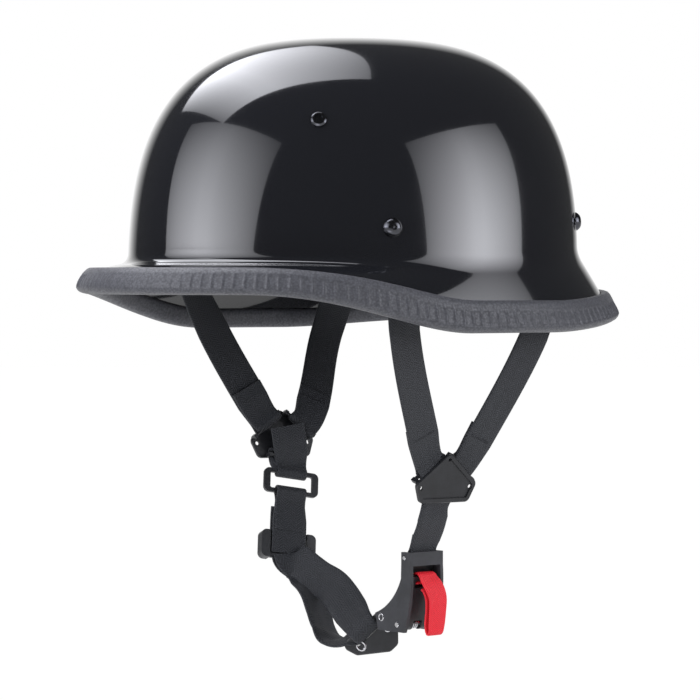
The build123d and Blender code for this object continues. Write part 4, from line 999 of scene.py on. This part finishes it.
dress(makeShell(), shellLook, nodes=["outer_shell"])
dress(makeTrim(), trimLook, nodes=["edge_trim"])
for name in ("left_front", "left_rear", "right_front", "right_rear"):
    dress(makeLeg(name + "_leg"), webLook, nodes=[name + "_strap"])
dress(makeStitches("bar_tacks", tacks), threadLook)
for make, node in ((makeLowerStrap, "left_lower_strap"), (makeLinkBand, "link_strap"),
                   (makeChinBand, "right_chin_strap"), (makeTailBand, "strap_tail")):
    dress(make(), webLook, nodes=[node])
loopBand, loopStart, loopBar = makeChinLoop()
dress(loopBand, webLook, body=None, nodes=["chin_loop"])
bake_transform(loopBand)
hinges = {joint["name"]: joint for joint in frame["joints"]}
ribbonHinge = np.array(hinges["ribbon_hinge"]["pos_m"]) * 1000 - seatShift
dress(makeRibbon(ribbonHinge), ribbonLook, body="ribbon", nodes=["pull_ribbon"])
print("webbing made")


backWeb = {"sweep": (64, 81, 8), "half": 9.4, "inner": 32.5, "outer": 33.4}
eyelet = {
    "radius": 37.2, "angle": 23.9, "aside": -11.4, "ring": 1.75, "section": 0.55, "stretch": 1.0,
    "height": 0.45,
}
tongueRing = {"along": -9.2, "deep": -2.4, "ring": 2.1, "section": 0.6, "stretch": 1.15, "height": 0.5}
ringSteps = {"round": 32, "section": 10}


def makeBackWeb():
    # a thin web that closes the buckle's back between its side walls, above the track's floor
    half, inner, outer = backWeb["half"], backWeb["inner"], backWeb["outer"]
    lean = np.radians(np.linspace(*backWeb["sweep"]))[:, None]
    across = np.array([-half, half, half, -half])
    radius = np.array([inner, inner, outer, outer])
    grid = np.stack([trackCentre[0] + radius * np.sin(lean), trackCentre[1] + across + 0 * lean,
                     trackCentre[2] - radius * np.cos(lean)], -1)
    return gridMesh("buckle_back_web", grid, wrapColumns=True, caps=True, smooth=False)


def rolledRing(name, middle, right, high, face, sizes):
    # an oval section carried round a circle, or round an oval where stretch isn't one
    turn = fullTurn(ringSteps["round"])[:, None, None]
    bend = fullTurn(ringSteps["section"])[None, :, None]
    reach = sizes["ring"] + sizes["section"] * np.cos(bend)
    grid = (middle + right * reach * np.cos(turn) + high * reach * sizes["stretch"] * np.sin(turn)
            + face * sizes["height"] * np.sin(bend))
    return gridMesh(name, grid, wrapRows=True, wrapColumns=True)


def makeEyelet():
    # a ring on the buckle's side wall
    middle = trackPoint(eyelet["radius"], eyelet["angle"]) + (0.0, eyelet["aside"], 0.0)
    right, back = np.array([1.0, 0.0, 0.0]), np.array([0.0, 1.0, 0.0])
    return rolledRing("wall_eyelet", middle, right, up, -back, eyelet)


def makeTongueRing():
    # the same on the tongue's plate, a little longer than wide
    origin, along, deep, face = tonguePlane()
    middle = origin + along * tongueRing["along"] + deep * tongueRing["deep"]
    middle = middle + face * (fittings["plateThick"] / 2)
    return rolledRing("tongue_ring", middle, along, deep, face, tongueRing)


dress(makeBackWeb(), nylonLook)
dress(makeTongueRing(), steelLook, body="tongue")
dress(makeEyelet(), steelLook)
print("buckle details made")

padPieces = [makeCrownPad()] + [makeSidePad(name, place) for name, place in (
    ("left_cushion", pads["side"]), ("right_cushion", (-pads["side"][0], *pads["side"][1:])),
    ("front_cushion", pads["front"]), ("rear_cushion", pads["rear"]))]
for piece, node in zip(padPieces, ("crown_pad", "left_side_pad", "right_side_pad", "front_pad", "rear_pad")):
    dress(piece, knitLook, nodes=[node])
print("pads made")

lookNodes = (
    (foamLook, ("foam_liner",)), (darkSteelLook, ("strap_rivets", "upper_rivets")),
    (steelLook, ("strap_washers", "upper_washers", "buckle_strap_bar", "lever_pin", "lever_spring",
                 "tongue_rivet")),
    (nylonLook, ("left_divider", "right_divider", "strap_link", "length_slide", "release_lever",
                 "buckle_tongue")),
    (buckleLook, ("buckle_body",)),
)
for look, nodes in lookNodes:
    for node in nodes:
        for place in frame["nodes"][node].material_slots:
            place.material = look


def wayTo(turn, rise):
    # the way from the helmet to a viewer, by degrees from the front toward the wearer's left and up
    turn, rise = math.radians(turn), math.radians(rise)
    return np.array([math.sin(turn) * math.cos(rise), -math.cos(turn) * math.cos(rise), math.sin(rise)])


# the focal length, the target's place and the image's size are in pixels of the photo
view = {
    "turn": 50.0, "rise": 1.0, "distance": 1.8, "focal": 3348.0, "target": (351.0, 332.0), "image": 700.0,
    "sensor": 36.0, "clip": 50.0,
}
rightWay = np.array([math.cos(math.radians(view["turn"])), math.sin(math.radians(view["turn"])), 0.0])
backWay = wayTo(view["turn"], view["rise"])
upWay = np.cross(backWay, rightWay)
target = toFrame((0.0, 0.0, 0.0))


def placed(name, place, columns, data):
    # an object whose x, y and z axes are these columns
    thing = sceneObject(name, data)
    matrix = Matrix.Identity(4)
    for index, column in enumerate(columns):
        for row in range(3):
            matrix[row][index] = column[row]
    matrix.translation = Vector(place)
    thing.matrix_world = matrix
    return thing


cameraData = bpy.data.cameras.new("camera")
cameraData.sensor_width = view["sensor"]
cameraData.lens = view["focal"] / view["image"] * cameraData.sensor_width
cameraData.shift_x = (view["image"] / 2 - view["target"][0]) / view["image"]
cameraData.shift_y = (view["target"][1] - view["image"] / 2) / view["image"]
cameraData.clip_end = view["clip"]
camera = placed("camera", target + backWay * view["distance"], (rightWay, upWay, backWay), cameraData)
bpy.context.scene.camera = camera

lampAim = toFrame((0.0, 0.0, 75.0))
lampColour = (0.93, 0.94, 1.0)
lamps = {
    "front_softbox": {"turn": -6.0, "rise": 24.0, "away": 1.1, "size": (1.52, 0.84), "light": 2.3},
    "low_fill": {"turn": 35.0, "rise": -30.0, "away": 1.5, "size": (1.6, 0.5), "light": 1.1},
    "side_softbox": {"turn": 121.5, "rise": 16.8, "away": 1.1, "size": (0.94, 0.68), "light": 2.6},
}
overhead = {
    "above": 1.0, "right": -0.5, "back": -0.42, "size": (1.25, 1.4), "light": 5.0, "roll": 15.0,
    "fade": (0.25, 1.0, 1.0),
}


def areaLamp(name, place, look, size, light, roll=0.0, fade=(0.3, 2.3, 0.5)):
    # a rectangular lamp that looks along look; its power is light times pi times its area, and fade
    # holds the shares of its light at the sides, the bottom and the top
    data = bpy.data.lights.new(name, "AREA")
    data.shape = "RECTANGLE"
    data.size, data.size_y = size
    data.energy = light * math.pi * size[0] * size[1]
    data.color = lampColour
    back = -unit(np.asarray(look, float))
    level = np.cross(up, back)
    side = unit(level) if np.linalg.norm(level) > 1e-3 else rightWay
    rising = np.cross(back, side)
    roll = math.radians(roll)
    across = side * math.cos(roll) + rising * math.sin(roll)
    # the cloth front of a softbox dims toward its sides, and changes from its bottom to its top
    data.use_nodes = True
    tree = data.node_tree
    parts = addNode(tree, "SeparateXYZ", None, {0: addNode(tree, "NewGeometry").outputs["Parametric"]})
    sides = ramp(tree, mathNode(tree, "PINGPONG", parts.outputs[0], 0.5), 0.0, 0.45, fade[0], 1.0)
    high = ramp(tree, parts.outputs[1], 0.0, 1.0, fade[1], fade[2])
    tree.links.new(mathNode(tree, "MULTIPLY", sides, high), tree.nodes["Emission"].inputs["Strength"])
    lamp = placed(name, place, (across, np.cross(back, across), back), data)
    lamp.visible_camera = False
    return lamp


for name, lamp in lamps.items():
    way = wayTo(lamp["turn"], lamp["rise"])
    areaLamp(name, lampAim + way * lamp["away"], -way, lamp["size"], lamp["light"])
levelBack = unit(backWay * (1, 1, 0))
overheadAt = lampAim + up * overhead["above"] + rightWay * overhead["right"] + levelBack * overhead["back"]
areaLamp("overhead_panel", overheadAt, -up, overhead["size"], overhead["light"], overhead["roll"],
         overhead["fade"])
print("camera and lamps set")


white = (1.0, 1.0, 1.0, 1.0)
studio = {"plain": 0.8, "aside": 0.12, "above": 0.06, "edge": (0.83, 0.99), "glow": (0.05, 0.95)}
floorSizes = {"size": 60.0, "height": -1.5, "seen": 0.93, "glow": 1.03}


def makeWorld():
    # white to the camera; in reflections white behind the object and dark toward the camera
    world = bpy.data.worlds.new("studio")
    bpy.context.scene.world = world
    world.use_nodes = True
    tree = world.node_tree
    tree.nodes.clear()
    way = addNode(tree, "TexCoord").outputs["Generated"]
    bright = unit(-backWay - rightWay * studio["aside"] + upWay * studio["above"])
    depth = addNode(tree, "VectorMath", {"operation": "DOT_PRODUCT", 1: bright.tolist()}, {0: way})
    glow = ramp(tree, depth.outputs["Value"], *studio["edge"], *studio["glow"])
    path = addNode(tree, "LightPath")
    plain = addNode(tree, "Background", {"Color": white, "Strength": studio["plain"]})
    mirrored = addNode(tree, "Background", {"Color": white}, {"Strength": glow})
    seen = addNode(tree, "Background", {"Color": white, "Strength": 1.0})
    glossy = addNode(tree, "MixShader", None, {
        0: path.outputs["Is Glossy Ray"], 1: plain.outputs[0], 2: mirrored.outputs[0]})
    whole = addNode(tree, "MixShader", None, {
        0: path.outputs["Is Camera Ray"], 1: glossy.outputs[0], 2: seen.outputs[0]})
    addNode(tree, "OutputWorld", None, {"Surface": whole.outputs[0]})


def makeFloor():
    # a pale level floor well under the hanging straps; it shows white and keeps some shadow
    size, height = floorSizes["size"], floorSizes["height"]
    points = [(-size, -size, height), (size, -size, height), (size, size, height), (-size, size, height)]
    mesh = bpy.data.meshes.new("floor")
    mesh.from_pydata(points, [], [(0, 1, 2, 3)])
    floor = sceneObject("floor", mesh)
    material, tree, shader = newMaterial("matt_white_paint", {
        "Base Color": linear("f2f2f2"), "Roughness": 0.9})
    output = next(node for node in tree.nodes if node.type == "OUTPUT_MATERIAL")
    path = addNode(tree, "LightPath")
    seen = mathNode(tree, "MULTIPLY", path.outputs["Is Camera Ray"], floorSizes["seen"])
    glow = addNode(tree, "Emission", {"Color": white, "Strength": floorSizes["glow"]}).outputs[0]
    mix = addNode(tree, "MixShader", None, {0: seen, 1: shader.outputs[0], 2: glow})
    tree.links.new(mix.outputs[0], output.inputs["Surface"])
    mesh.materials.append(material)


makeWorld()
makeFloor()
bpy.context.scene.view_settings.view_transform = "Standard"
print("scene ready")
